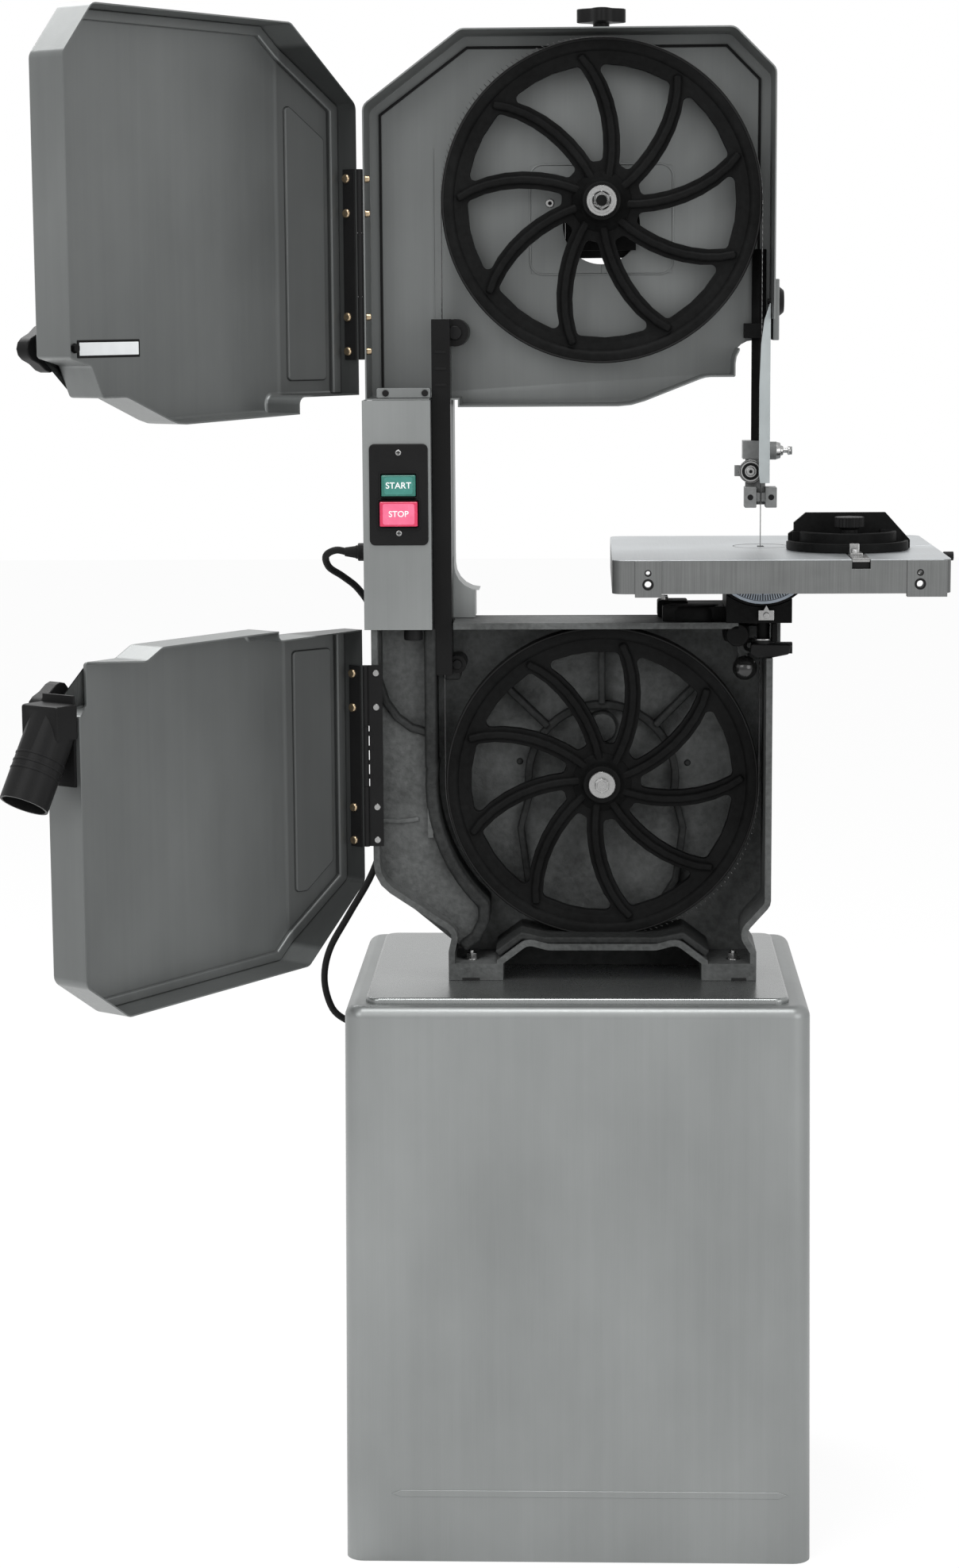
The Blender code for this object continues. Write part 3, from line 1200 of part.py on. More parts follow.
def table_trunnion():
    """Two half-round rockers under the table, joined by a plate with a way for the blade."""
    seat = TABLE_Z - TABLE_PLATE - CLEAR
    base = box("table_trunnion", CAST_BLACK, (BLADE_X - 38 * MM, BLADE_X + 38 * MM), (-58 * MM, 42 * MM), (seat - 5 * MM, seat))
    rocker = half_round(TRUNNION_R, TABLE_Z - seat)
    for name, y in (("front_rocker", (-58 * MM, -46 * MM)), ("rear_rocker", (30 * MM, 42 * MM))):
        join(base, plate(name, None, [rocker], y, (BLADE_X, TABLE_Z)))
    cut(base, box("trunnion_way", None, (BLADE_X - 22 * MM, BLADE_X + 22 * MM), (-24 * MM, 24 * MM), (seat - 20 * MM, seat + 10 * MM)))
    scale = half_round(TRUNNION_R - 3 * MM, TABLE_Z - seat)
    plate("tilt_scale", ZINC_PALE, [scale], (-61 * MM, -58 * MM - CLEAR), (BLADE_X, TABLE_Z))


def trunnion_support():
    """Saddle bolted to the casting: the rockers slide in its round seat."""
    low = CASTING_TOP + CLEAR
    block = box("trunnion_support", CAST_BLACK, (SUPPORT_X0, SUPPORT_X1), (-58 * MM, FRAME_BACK), (low, SUPPORT_TOP))
    foot = box("support_foot", None, (SUPPORT_X0 - 69 * MM, SUPPORT_X0 + 5 * MM), (-34 * MM, FRAME_BACK), (low, low + 16 * MM))
    join(block, foot)
    seat_r = TRUNNION_R + 0.5 * MM
    cut(block, rod("round_seat", None, (BLADE_X, -80 * MM, TABLE_Z), (BLADE_X, 80 * MM, TABLE_Z), seat_r, sides=72))
    cut(block, box("support_blade_way", None, (BLADE_X - 14 * MM, BLADE_X + 14 * MM), (-12 * MM, 26 * MM), (low - 10 * MM, SUPPORT_TOP + 10 * MM)))
    join(block, rod("lock_stem", None, (STEM_X, STEM_Y, low - 22 * MM), (STEM_X, STEM_Y, low + 4 * MM), 7 * MM))
    lever_top = low - 20 * MM
    lever = rod("tilt_lock_handle", PLASTIC_BLACK, (STEM_X, STEM_Y, lever_top - 18 * MM), (STEM_X, STEM_Y, lever_top), 12 * MM)
    join(lever, box("lock_lever", None, (STEM_X, STEM_X + 32 * MM), (STEM_Y - 6 * MM, STEM_Y + 6 * MM), (lever_top - 16 * MM, lever_top - 4 * MM)))
    cut(lever, rod("lever_bore", None, (STEM_X, STEM_Y, lever_top - 8 * MM), (STEM_X, STEM_Y, lever_top + 10 * MM), 7 * MM + CLEAR))


def lower_guides():
    """Carrier under the saddle with pads each side of the blade, and its adjusting knob."""
    top = CASTING_TOP
    carrier = box("lower_guide_carrier", CAST_GREY, (BLADE_X - 24 * MM, BLADE_X + 24 * MM), (12 * MM, 29 * MM), (top - 40 * MM, top))
    for name, pad in (
        ("left", (BLADE_X - 12 * MM, BLADE_X - BLADE_T / 2 - 0.4 * MM)),
        ("right", (BLADE_X + BLADE_T / 2 + 0.4 * MM, BLADE_X + 12 * MM)),
    ):
        join(carrier, box(f"lower_pad_{name}", None, pad, (-5 * MM, 14 * MM), (top - 20 * MM, top - 8 * MM)))
    ball_x, ball_z = BLADE_X - 17.7 * MM, LOWER_Z + 131 * MM
    boss = rod("knob_boss", None, (ball_x, 10 * MM, ball_z), (ball_x, 29 * MM, ball_z), 8 * MM)
    join(carrier, boss)
    join(carrier, box("boss_web", None, (ball_x - 5 * MM, ball_x + 5 * MM), (13 * MM, 28 * MM), (ball_z, top - 30 * MM)))
    bearing_x = BLADE_X - 10.7 * MM
    low_bearing_z = top - 31 * MM
    join(carrier, rod("lower_spindle", None, (bearing_x, 7 * MM, low_bearing_z), (bearing_x, 14 * MM, low_bearing_z), 3 * MM, sides=16))
    profile = ring(7 * MM, 3 * MM + CLEAR, -7 * MM, -11.5 * MM)
    turned("lower_thrust_bearing", STEEL_BRIGHT, profile, (bearing_x, 0, low_bearing_z), steps=24)
    ball_r = 13.5 * MM

    def build(shape):
        bmesh.ops.create_uvsphere(shape, u_segments=16, v_segments=10, radius=ball_r)

    knob = place("lower_guide_knob", mesh_from("lower_guide_knob", build), PLASTIC_BLACK, (ball_x, -30 * MM, ball_z))
    join(knob, rod("knob_stem", None, (ball_x, -24 * MM, ball_z), (ball_x, 10 * MM - CLEAR, ball_z), 4 * MM))


MITRE_Y = -72 * MM


def mitre_gauge():
    """Bar in the table slot, the half-round head that turns on it, and the lock knob."""
    half = SLOT_W / 2 - CLEAR
    bar_top = TABLE_Z - 0.1 * MM
    bar = (SLOT_X - half, SLOT_X + half)
    low = TABLE_Z - SLOT_DEPTH + CLEAR
    blank = box("mitre_bar", STEEL_BRIGHT, bar, (TABLE_FRONT + 3 * MM, TABLE_FRONT + 290 * MM), (low, bar_top))
    pivot = (SLOT_X - 3 * MM, MITRE_Y)
    join(blank, rod("mitre_stud", None, (*pivot, TABLE_Z - 3 * MM), (*pivot, TABLE_Z + 24 * MM), 4 * MM))
    seat = TABLE_Z + CLEAR
    radius = 66 * MM
    count = 24
    arc = [(radius * math.cos(math.pi + math.pi * k / count), radius * math.sin(math.pi + math.pi * k / count)) for k in range(count + 1)]
    outline = [*arc, (radius, 13 * MM), (-radius, 13 * MM)]
    arc_y = MITRE_Y + 23 * MM
    head_t = 8 * MM
    head = place("mitre_head", curve_mesh("mitre_head", [outline], head_t), CAST_BLACK, (pivot[0], arc_y, seat + head_t / 2))
    fence_y = (arc_y + 9 * MM, arc_y + 17 * MM)
    fence_top = seat + 39 * MM
    fence = plate(
        "mitre_fence",
        None,
        [
            [
                (-radius + 2 * MM, seat),
                (radius + 3 * MM, seat),
                (radius + 3 * MM, seat + 9 * MM),
                (radius - 24 * MM, fence_top),
                (-radius + 21 * MM, fence_top),
                (-radius + 8 * MM, fence_top - 11 * MM),
                (-radius + 8 * MM, seat + 20 * MM),
                (-radius + 2 * MM, seat + 16 * MM),
            ]
        ],
        fence_y,
        (pivot[0], 0),
    )
    join(head, fence)
    cut(head, rod("mitre_bore", None, (*pivot, seat - 10 * MM), (*pivot, seat + 40 * MM), 4 * MM + CLEAR))
    knob_low = seat + head_t + CLEAR
    profile = [
        (4 * MM + CLEAR, knob_low + 28 * MM),
        (16 * MM, knob_low + 28 * MM),
        (16 * MM, knob_low + 16 * MM),
        (9 * MM, knob_low + 14 * MM),
        (9 * MM, knob_low),
        (4 * MM + CLEAR, knob_low),
    ]
    turned("mitre_knob", PLASTIC_BLACK, profile, (*pivot, 0), (0, 0, 0), steps=24)


# Lead

LEAD_START = (FRAME_LEFT - 4 * MM, -6 * MM, CASTING_TOP + 76 * MM)
LEAD_END = (-284 * MM, 150 * MM, 545 * MM)
GLAND_R = 7 * MM
LEAD_ROUTE = [
    (-271.6, -6, 1117),
    (-282, -6, 1117),
    (-296, -4, 1119),
    (-308, 6, 1112),
    (-306, 22, 1098),
    (-292, 40, 1086),
    (-276, 58, 1070),
    (-262, 74, 1044),
    (-252, 84, 1000),
    (-246, 92, 930),
    (-244, 100, 850),
    (-250, 110, 790),
    (-268, 122, 732),
    (-298, 136, 678),
    (-322, 146, 634),
    (-329, 150, 596),
    (-320, 150, 562),
    (-302, 150, 547),
    (-290, 150, 545),
    (-279, 150, 545),
]


def smooth_points(route, spacing):
    """Points at even spacing along a smooth curve through the route's own points."""
    knots = [Vector(p) * MM for p in route]
    padded = [knots[0] * 2 - knots[1], *knots, knots[-1] * 2 - knots[-2]]
    dense = []
    for a, b, c, d in zip(padded, padded[1:], padded[2:], padded[3:]):
        for k in range(12):
            t = k / 12
            dense.append(0.5 * (2 * b + (c - a) * t + (2 * a - 5 * b + 4 * c - d) * t**2 + (3 * b - a - 3 * c + d) * t**3))
    dense.append(knots[-1])
    points, walked = [dense[0]], 0.0
    for last, here in zip(dense, dense[1:]):
        walked += (here - last).length
        if walked >= spacing:
            points.append(here)
            walked = 0.0
    points.append(dense[-1])
    return points


def motor_lead():
    """Lead from the switch, looped beside the column and down behind the base to the motor."""
    x, y, z = LEAD_START
    profile = [
        (0, 0),
        (GLAND_R + 3 * MM, 0),
        (GLAND_R + 3 * MM, -9 * MM),
        (GLAND_R, -9 * MM),
        (GLAND_R, -20 * MM),
        (0, -20 * MM),
    ]
    seat = x - CLEAR - 9 * MM
    turn = (0, -math.pi / 2, 0)
    turned("lead_gland", PLASTIC_BLACK, profile, (seat, y, z), turn, closed=False, steps=24)
    curve = bpy.data.curves.new("motor_lead", "CURVE")
    curve.dimensions = "3D"
    curve.bevel_depth = LEAD_R
    curve.bevel_resolution = 2
    curve.use_fill_caps = True
    points = smooth_points(LEAD_ROUTE, 16 * MM)
    spline = curve.splines.new("POLY")
    spline.points.add(len(points) - 1)
    for point, here in zip(spline.points, points):
        point.co = (*here, 1)
    lead = bpy.data.objects.new("motor_lead", curve)
    lead.parent = SAW
    curve.materials.append(RUBBER_BLACK)
    PARTS.objects.link(lead)


def centre_footprint():
    """Moves the whole saw so that its box, without the lead, is centred on the origin."""
    bpy.context.view_layer.update()
    graph = bpy.context.evaluated_depsgraph_get()
    low, high = Vector((math.inf,) * 3), Vector((-math.inf,) * 3)
    for item in PARTS.objects:
        if item.type != "MESH":
            continue
        done = item.evaluated_get(graph)
        for vertex in done.data.vertices:
            spot = done.matrix_world @ vertex.co
            low = Vector(map(min, low, spot))
            high = Vector(map(max, high, spot))
    SAW.location = (-(low.x + high.x) / 2, -(low.y + high.y) / 2, 0)


stand_cabinet()
stand_grommet()
motor()
pulleys_and_belt()
belt_guard()
base_casting()
lower_bearing()
column()
column_cover()
switch_and_buttons()
blade_channel()
upper_housing()
upper_door()
lower_door()
wheels()
saw_blade()
tension()
guide_post()
guide_carrier()
blade_guard()
table()
table_trunnion()
trunnion_support()
lower_guides()
mitre_gauge()
motor_lead()
centre_footprint()
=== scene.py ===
"""Band saw on a closed sheet stand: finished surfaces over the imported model."""

import json
import math

import bmesh
import bpy
from mathutils import Matrix, Vector


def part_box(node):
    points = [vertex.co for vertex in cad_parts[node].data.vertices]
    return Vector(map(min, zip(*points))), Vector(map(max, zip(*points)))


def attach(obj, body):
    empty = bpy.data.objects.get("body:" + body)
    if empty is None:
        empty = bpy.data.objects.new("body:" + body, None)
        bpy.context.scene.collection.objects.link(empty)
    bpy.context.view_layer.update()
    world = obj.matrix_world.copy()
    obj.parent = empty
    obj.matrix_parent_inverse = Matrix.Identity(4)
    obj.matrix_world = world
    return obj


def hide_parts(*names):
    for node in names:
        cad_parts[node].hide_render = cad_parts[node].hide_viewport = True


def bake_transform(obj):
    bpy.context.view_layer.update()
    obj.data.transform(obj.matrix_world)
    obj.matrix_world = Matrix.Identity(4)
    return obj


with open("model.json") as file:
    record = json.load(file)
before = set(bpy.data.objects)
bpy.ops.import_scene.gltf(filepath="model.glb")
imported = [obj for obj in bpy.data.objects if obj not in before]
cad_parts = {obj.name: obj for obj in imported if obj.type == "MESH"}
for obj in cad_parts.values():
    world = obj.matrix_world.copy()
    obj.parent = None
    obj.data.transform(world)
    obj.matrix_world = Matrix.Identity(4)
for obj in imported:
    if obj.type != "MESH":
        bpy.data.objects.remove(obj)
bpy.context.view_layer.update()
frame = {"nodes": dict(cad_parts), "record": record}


# Camera, floor and lights
# The saw stands on a plain white floor in even studio light. The blade's loop is
# centred on the wheels, so its middle is the zero of X and Y that every size below,
# in millimetres, is taken from. The floor is the zero of Z.

blade_low, blade_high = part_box("saw_blade")
wheel_middle = (blade_low + blade_high) / 2
LOWER_HUB = 858
UPPER_HUB = 1499
SAW = Matrix.Translation((wheel_middle.x, wheel_middle.y, 0)) @ Matrix.Scale(0.001, 4)


class Wire:
    """An output in a node tree. Sums on it add Math nodes."""

    def __init__(self, tree, output=None):
        self.tree = tree
        self.output = output

    def node(self, kind, settings, sockets, output=0):
        """A new node with these properties and inputs, as a wire from one of its outputs."""
        made = self.tree.nodes.new(kind)
        for key, value in settings.items():
            if key == "stops":
                for stop, (place, shade) in zip(made.color_ramp.elements, value):
                    stop.position = place
                    stop.color = (shade, shade, shade, 1)
            else:
                setattr(made, key, value)
        for key, value in sockets.items():
            if isinstance(value, Wire):
                self.tree.links.new(value.output, made.inputs[key])
            else:
                made.inputs[key].default_value = value
        return Wire(self.tree, made.outputs[output])

    def math(self, operation, first, second=0.0):
        return self.node("ShaderNodeMath", {"operation": operation}, {0: first, 1: second})

    def __add__(self, other):
        return self.math("ADD", self, other)

    def __sub__(self, other):
        return self.math("SUBTRACT", self, other)

    def __rsub__(self, other):
        return self.math("SUBTRACT", other, self)

    def __mul__(self, other):
        return self.math("MULTIPLY", self, other)

    __radd__ = __add__
    __rmul__ = __mul__

    def ramp(self, low, high):
        """0 below low and 1 above high."""
        return self.node("ShaderNodeValToRGB", {"stops": ((low, 0), (high, 1))}, {0: self})

    def blend(self, first, second):
        """From the first colour to the second as this value goes from 0 to 1."""
        colours = {0: self}
        for key, colour in ((6, first), (7, second)):
            colours[key] = colour if isinstance(colour, Wire) else (*colour, 1)
        return self.node("ShaderNodeMix", {"data_type": "RGBA"}, colours, 2)

    def grain(self, stretch, detail=3.0):
        """Noise on Object coordinates, with this many waves per metre along X, Y and Z."""
        place = self.node("ShaderNodeTexCoord", {}, {}, "Object")
        spread = self.node("ShaderNodeMapping", {}, {"Vector": place, "Scale": stretch})
        return self.node("ShaderNodeTexNoise", {}, {"Vector": spread, "Scale": 1.0, "Detail": detail})

    def bump(self, height, reach):
        """A surface normal that follows this wire, at most reach metres high."""
        return self.node("ShaderNodeBump", {}, {"Strength": height, "Distance": reach, "Height": self})


def surface(name, slot, metallic=0.0, specular=0.5, roughness=0.5):
    """A new material: its first wire and its shader's sockets."""
    made = bpy.data.materials.new(name)
    made.use_nodes = True
    made["slot"] = slot
    shader = made.node_tree.nodes["Principled BSDF"]
    shader.inputs["Metallic"].default_value = metallic
    shader.inputs["Specular IOR Level"].default_value = specular
    shader.inputs["Roughness"].default_value = roughness
    return made, Wire(made.node_tree), shader.inputs


def feed(wire, sockets, **values):
    """Links each wire to the shader's socket of that name."""
    for key, value in values.items():
        wire.tree.links.new(value.output, sockets[key.replace("_", " ")])


view = bpy.data.cameras.new("view")
view.lens = 72.3
view.clip_end = 50
camera = bpy.data.objects.new("view", view)
heading = Matrix.Rotation(math.radians(2.07), 4, "Z")
pitch = Matrix.Rotation(math.radians(90 - 8.65), 4, "X")
roll = Matrix.Rotation(math.radians(-0.38), 4, "Z")
stand_point = SAW @ Vector((-11.1, -3505.7, 1388.2))
camera.matrix_world = Matrix.Translation(stand_point) @ heading @ pitch @ roll
scene = bpy.context.scene
scene.collection.objects.link(camera)
scene.camera = camera
scene.view_settings.view_transform = "Standard"


def lamp(name, place, target, power, size):
    """A square soft light in watts and metres, aimed at its target."""
    light = bpy.data.lights.new(name, "AREA")
    light.energy = power
    light.size = size
    item = bpy.data.objects.new(name, light)
    item.location = SAW @ Vector(place)
    toward = SAW @ Vector(target) - item.location
    item.rotation_euler = toward.to_track_quat("-Z", "Y").to_euler()
    scene.collection.objects.link(item)


lamp("key_light", (-1900, -3200, 3000), (0, 0, 1000), 58, 2.2)
lamp("fill_light", (2300, -3000, 1700), (0, 0, 950), 38, 2.0)
lamp("top_light", (0, -1100, 4000), (0, 0, 700), 60, 1.2)
lamp("rear_light", (-1500, 1500, 3800), (-300, 0, 1300), 95, 2.4)

studio = bpy.data.worlds.new("studio")
scene.world = studio
studio.use_nodes = True
air = Wire(studio.node_tree)
ray = studio.node_tree.nodes.new("ShaderNodeLightPath")
kinds = [Wire(air.tree, ray.outputs[f"Is {kind} Ray"]) for kind in ("Camera", "Glossy", "Transmission")]
seen = air.math("MAXIMUM", air.math("MAXIMUM", kinds[0], kinds[1]), kinds[2])
AMBIENT = 0.7
sky = studio.node_tree.nodes["Background"]
sky.inputs["Color"].default_value = (1, 1, 1, 1)
studio.node_tree.links.new((seen * (1 - AMBIENT) + AMBIENT).output, sky.inputs["Strength"])

floor_shape = bmesh.new()
bmesh.ops.create_grid(floor_shape, x_segments=2, y_segments=2, size=14)
floor_mesh = bpy.data.meshes.new("floor")
floor_shape.to_mesh(floor_mesh)
floor_shape.free()
floor = bpy.data.objects.new("floor", floor_mesh)
floor.location.z = -0.0005
scene.collection.objects.link(floor)
pale, wire, sockets = surface("floor_pale", "", roughness=0.9, specular=0.0)
floor_mesh.materials.append(pale)
feed(wire, sockets, Base_Color=wire.grain((3, 3, 3)).blend((0.93, 0.93, 0.93), (0.95, 0.95, 0.95)))
SELF_LIT = 0.92
glow = wire.node("ShaderNodeEmission", {}, {"Color": (1, 1, 1, 1), "Strength": 1.0})
path = wire.node("ShaderNodeLightPath", {}, {}, "Is Camera Ray")
principled = Wire(wire.tree, pale.node_tree.nodes["Principled BSDF"].outputs[0])
mixed = wire.node("ShaderNodeMixShader", {}, {0: path * SELF_LIT, 1: principled, 2: glow})
wire.tree.links.new(mixed.output, pale.node_tree.nodes["Material Output"].inputs[0])


# Stand cabinet
# One welded box of 2 mm sheet with large rolled corners, closed on top by a raised
# plate that the saw is bolted to. The sheet is brushed and has a satin grey finish.

bodies = frame["record"]["behaviour"]["bodies"]
BODY_OF = {node: body for body, nodes in bodies.items() for node in nodes}


def brushed_sheet(name, slot, dark, light, metallic, rough, band=None):
    """Satin sheet: fine upright brush lines and soft clouds.

    A band is a row of weights that measures across the sheet, and the distance up to
    which the colour is darkened as painted shade.
    """
    made, wire, sockets = surface(name, slot, metallic=metallic, specular=0.4)
    lines = wire.grain((900, 900, 9), 2)
    soft_lines = wire.grain((90, 90, 1.5), 2)
    clouds = wire.grain((6, 6, 3.5), 5)
    shade = clouds.ramp(0.3, 0.7) * 0.55 + soft_lines * 0.25 + lines * 0.2
    colour = shade.blend(dark, light)
    if band:
        across, edge = band
        place = wire.node("ShaderNodeTexCoord", {}, {}, "Object")
        x, y = (wire.node("ShaderNodeSeparateXYZ", {}, {"Vector": place}, axis) for axis in "XY")
        # Painted shade: within the band's distance of its edge, the colour is darkened to 0.45 of itself.
        depth = 0.45
        shade_mask = ((x * across[0] + y * across[1] + (across[3] - edge)) * 0.15).ramp(0.05, 0.95)
        hinge_shade_colour = shade.blend([v * depth for v in dark], [v * depth for v in light])
        colour = shade_mask.blend(hinge_shade_colour, colour)
    feed(
        wire,
        sockets,
        Base_Color=colour,
        Roughness=lines * 0.12 + clouds * 0.14 + (rough - 0.13),
        Normal=(lines + soft_lines * 2).bump(0.12, 0.0004),
    )
    return made


def push(part, faces, move):
    """Extrudes these faces by a distance along each axis."""
    made = bmesh.ops.extrude_face_region(part, geom=faces)["geom"]
    bmesh.ops.translate(part, vec=move, verts=[v for v in made if isinstance(v, bmesh.types.BMVert)])


def rolled(part, edges, radius, segments, clamp=False):
    """Rounds these edges."""
    bmesh.ops.bevel(
        part,
        geom=edges,
        offset=radius,
        segments=segments,
        profile=0.5,
        affect="EDGES",
        material=-1,
        clamp_overlap=clamp,
    )


def add(shape, part, soft=0.0, segments=2, angle=32):
    """Rounds the edges of a finished part and joins it to the piece."""
    bmesh.ops.recalc_face_normals(part, faces=part.faces)
    if soft:
        folded = [e for e in part.edges if len(e.link_faces) == 2]
        rolled(part, [e for e in folded if e.calc_face_angle() > math.radians(angle)], soft, segments, True)
    mesh = bpy.data.meshes.new("part")
    part.to_mesh(mesh)
    part.free()
    shape.from_mesh(mesh)
    bpy.data.meshes.remove(mesh)


def block(shape, x, y, z, soft, segments=2):
    """A block between these limits, with rounded edges."""
    part = bmesh.new()
    bmesh.ops.create_cube(part, size=1)
    bmesh.ops.scale(part, vec=(x[1] - x[0], y[1] - y[0], z[1] - z[0]), verts=part.verts)
    bmesh.ops.translate(part, vec=(sum(x) / 2, sum(y) / 2, sum(z) / 2), verts=part.verts)
    add(shape, part, soft, segments)


def bar(shape, start, end, radius, tip=None, sides=32, soft=0.4):
    """A round bar, or a cone that ends at another radius, from start to end."""
    start, end = Vector(start), Vector(end)
    part = bmesh.new()
    length = (end - start).length
    tip = radius if tip is None else tip
    bmesh.ops.create_cone(part, cap_ends=True, segments=sides, radius1=radius, radius2=tip, depth=length)
    turn = (end - start).to_track_quat("Z", "Y").to_matrix().to_4x4()
    bmesh.ops.transform(part, matrix=Matrix.Translation((start + end) / 2) @ turn, verts=part.verts)
    add(shape, part, soft, angle=50)


def fillet(corners, step=15):
    """An outline through (x, z, radius) corners with each corner rounded."""
    points = []
    for i, (x, z, radius) in enumerate(corners):
        here = Vector((x, z))
        if not radius:
            points.append((x, z))
            continue
        back = (Vector(corners[i - 1][:2]) - here).normalized()
        ahead = (Vector(corners[(i + 1) % len(corners)][:2]) - here).normalized()
        half = back.angle(ahead) / 2
        reach = radius / math.tan(half)
        centre = here + (back + ahead).normalized() * radius / math.sin(half)
        first, last = here + back * reach - centre, here + ahead * reach - centre
        sweep = first.angle_signed(last)
        count = max(2, math.ceil(abs(math.degrees(sweep)) / step))
        for k in range(count + 1):
            spoke = first.copy()
            spoke.rotate(Matrix.Rotation(-sweep * k / count, 2))
            points.append(tuple(centre + spoke))
    return points


def rounded(x, z, radius):
    """The outline of a rectangle between these limits, with rounded corners."""
    return fillet([(x[0], z[0], radius), (x[1], z[0], radius), (x[1], z[1], radius), (x[0], z[1], radius)])


def slab(shape, outline, near, far, soft=0.5, segments=2):
    """A plate with this outline in XZ, between two values of Y."""
    part = bmesh.new()
    face = part.faces.new([part.verts.new((x, near, z)) for x, z in outline])
    push(part, [face], (0, far - near, 0))
    add(shape, part, soft, segments)


def piece(name, shape, finish, body, nodes=(), place=SAW, smooth=35):
    """Turns a finished shape into an object that rides on its body, if one is named."""
    bmesh.ops.transform(shape, matrix=place, verts=shape.verts)
    mesh = bpy.data.meshes.new(name)
    shape.to_mesh(mesh)
    shape.free()
    mesh.shade_smooth()
    mesh.set_sharp_from_angle(angle=math.radians(smooth))
    mesh.materials.append(finish)
    item = bpy.data.objects.new(name, mesh)
    scene.collection.objects.link(item)
    weigh = item.modifiers.new("weigh", "WEIGHTED_NORMAL")
    weigh.keep_sharp = True
    weigh.weight = 90
    if body:
        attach(item, body)
    if nodes:
        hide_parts(*nodes)
    return item


def box_lid(middle, size, splay, corner, rim):
    """A box with rounded corners and top edge, splayed at its foot; radius and steps of each."""
    box = bmesh.new()
    bmesh.ops.create_cube(box, size=1)
    bmesh.ops.scale(box, vec=size, verts=box.verts)
    bmesh.ops.translate(box, vec=middle, verts=box.verts)
    foot = [v for v in box.verts if v.co.z < middle[2]]
    for vert in foot:
        vert.co.x += splay if vert.co.x > middle[0] else -splay
        vert.co.y += splay if vert.co.y > middle[1] else -splay
    rolled(box, [e for e in box.edges if abs(e.verts[0].co.z - e.verts[1].co.z) > size[2] / 2], *corner)
    lid = [f for f in box.faces if f.normal.z > 0.9]
    rolled(box, list({e for f in lid for e in f.edges}), *rim)
    return box


SHEET_LIGHT = brushed_sheet(
    "sheet_light_satin", "sheet_light", (0.165, 0.173, 0.171), (0.25, 0.26, 0.258), 0.7, 0.4
)
STAND_HEIGHT = 632

cabinet = bmesh.new()
shell = box_lid((-28, 53, STAND_HEIGHT / 2), (508, 416, STAND_HEIGHT), 5, (20, 7), (13, 6))
base = [f for f in shell.faces if f.normal.z < -0.9]
bmesh.ops.inset_region(shell, faces=base, thickness=25, use_even_offset=True)
bmesh.ops.delete(shell, geom=base, context="FACES")
add(cabinet, shell)
pressed_line = [(-236, 79, 0), (-225, 83, 4), (195, 83, 4), (206, 79, 0), (195, 75, 4), (-225, 75, 4)]
slab(cabinet, fillet(pressed_line), -160.2, -157, 0.9, 3)
piece("stand_cabinet_satin", cabinet, SHEET_LIGHT, "frame", ["stand_cabinet"])


def even(name, slot, waves, dark, light, roughness, specular=0.5):
    """Matt or printed surface: one slight mottle."""
    made, wire, sockets = surface(name, slot, roughness=roughness, specular=specular)
    feed(wire, sockets, Base_Color=wire.grain((waves, waves, waves)).blend(dark, light))
    return made


SHEET_DECK = brushed_sheet(
    "sheet_deck_smooth", "sheet_light", (0.175, 0.183, 0.181), (0.26, 0.27, 0.268), 0.8, 0.27
)
# Dark colour for the seam under the deck, also used as painted shade in the feet's notches.
DARK_SEAM_AND_SHADE = even("dark_seam_and_shade", "rubber_black", 90, (0.008, 0.008, 0.008), (0.025, 0.025, 0.025), 0.8, 0.1)
DECK_TOP = 638.5
for name, finish, grow, low, high, soft in (
    ("stand_platform", SHEET_DECK, 0, 630, DECK_TOP, 3.5),
    ("stand_seam", DARK_SEAM_AND_SHADE, 1.2, 629, 631.2, 0.4),
):
    size = (464 + grow, 368 + grow, high - low)
    deck = box_lid((-28, 45, (low + high) / 2), size, 0, (16, 6), (soft, 4))
    piece(name, deck, finish, "frame")


# Base casting
# An open-fronted grey iron casting that carries the lower wheel, with feet bolted to
# the stand. The sand surface is left rough under dark paint, and ribs brace its back.
# Its ribs and inner walls take a darker copy of the grey as painted shade.


def sand_cast(name, slot, dark, light, rough, height, specular):
    """Painted sand casting: coarse grain with finer pits and a mottled colour."""
    made, wire, sockets = surface(name, slot, specular=specular)
    coarse = wire.grain((160, 160, 160), 4)
    fine = wire.grain((650, 650, 650), 3)
    clouds = wire.grain((14, 14, 14), 3)
    relief = coarse.ramp(0.3, 0.72) * 0.7 + fine * 0.3
    feed(
        wire,
        sockets,
        Base_Color=(relief * 0.6 + clouds.ramp(0.35, 0.65) * 0.4).blend(dark, light),
        Roughness=fine * 0.16 + (rough - 0.08),
        Normal=relief.bump(height, 0.0011),
    )
    return made


def softened(node, finish, width, segments=2, angle=32, rides=True):
    """A merged copy of a CAD node with its sharp edges rounded, standing for the node.

    It rides on the node's body, unless rides is false; then it rides on no body.
    """
    shape = bmesh.new()
    shape.from_mesh(frame["nodes"][node].data)
    bmesh.ops.remove_doubles(shape, verts=shape.verts, dist=0.00002)
    bmesh.ops.dissolve_limit(shape, angle_limit=math.radians(1), verts=shape.verts, edges=shape.edges)
    copy = bmesh.new()
    add(copy, shape, width / 1000, segments, angle)
    body = BODY_OF[node] if rides else None
    return piece(node + "_finished", copy, finish, body, [node], Matrix.Identity(4))


def ribbon(points, left, right=None):
    """The outline of a strip that follows an open line, by its reach to each side."""
    right = left if right is None else right
    line = [Vector(p) for p in points]
    sides = ([], [])
    for i, here in enumerate(line):
        back = (here - line[i - 1]).normalized() if i else None
        ahead = (line[i + 1] - here).normalized() if i + 1 < len(line) else None
        way = ((back or ahead) + (ahead or back)).normalized()
        across = Vector((-way.y, way.x))
        lean = 1 if back is None or ahead is None else across.dot(Vector((-back.y, back.x)))
        sides[0].append(tuple(here + across * left / lean))
        sides[1].append(tuple(here - across * right / lean))
    return sides[0] + sides[1][::-1]


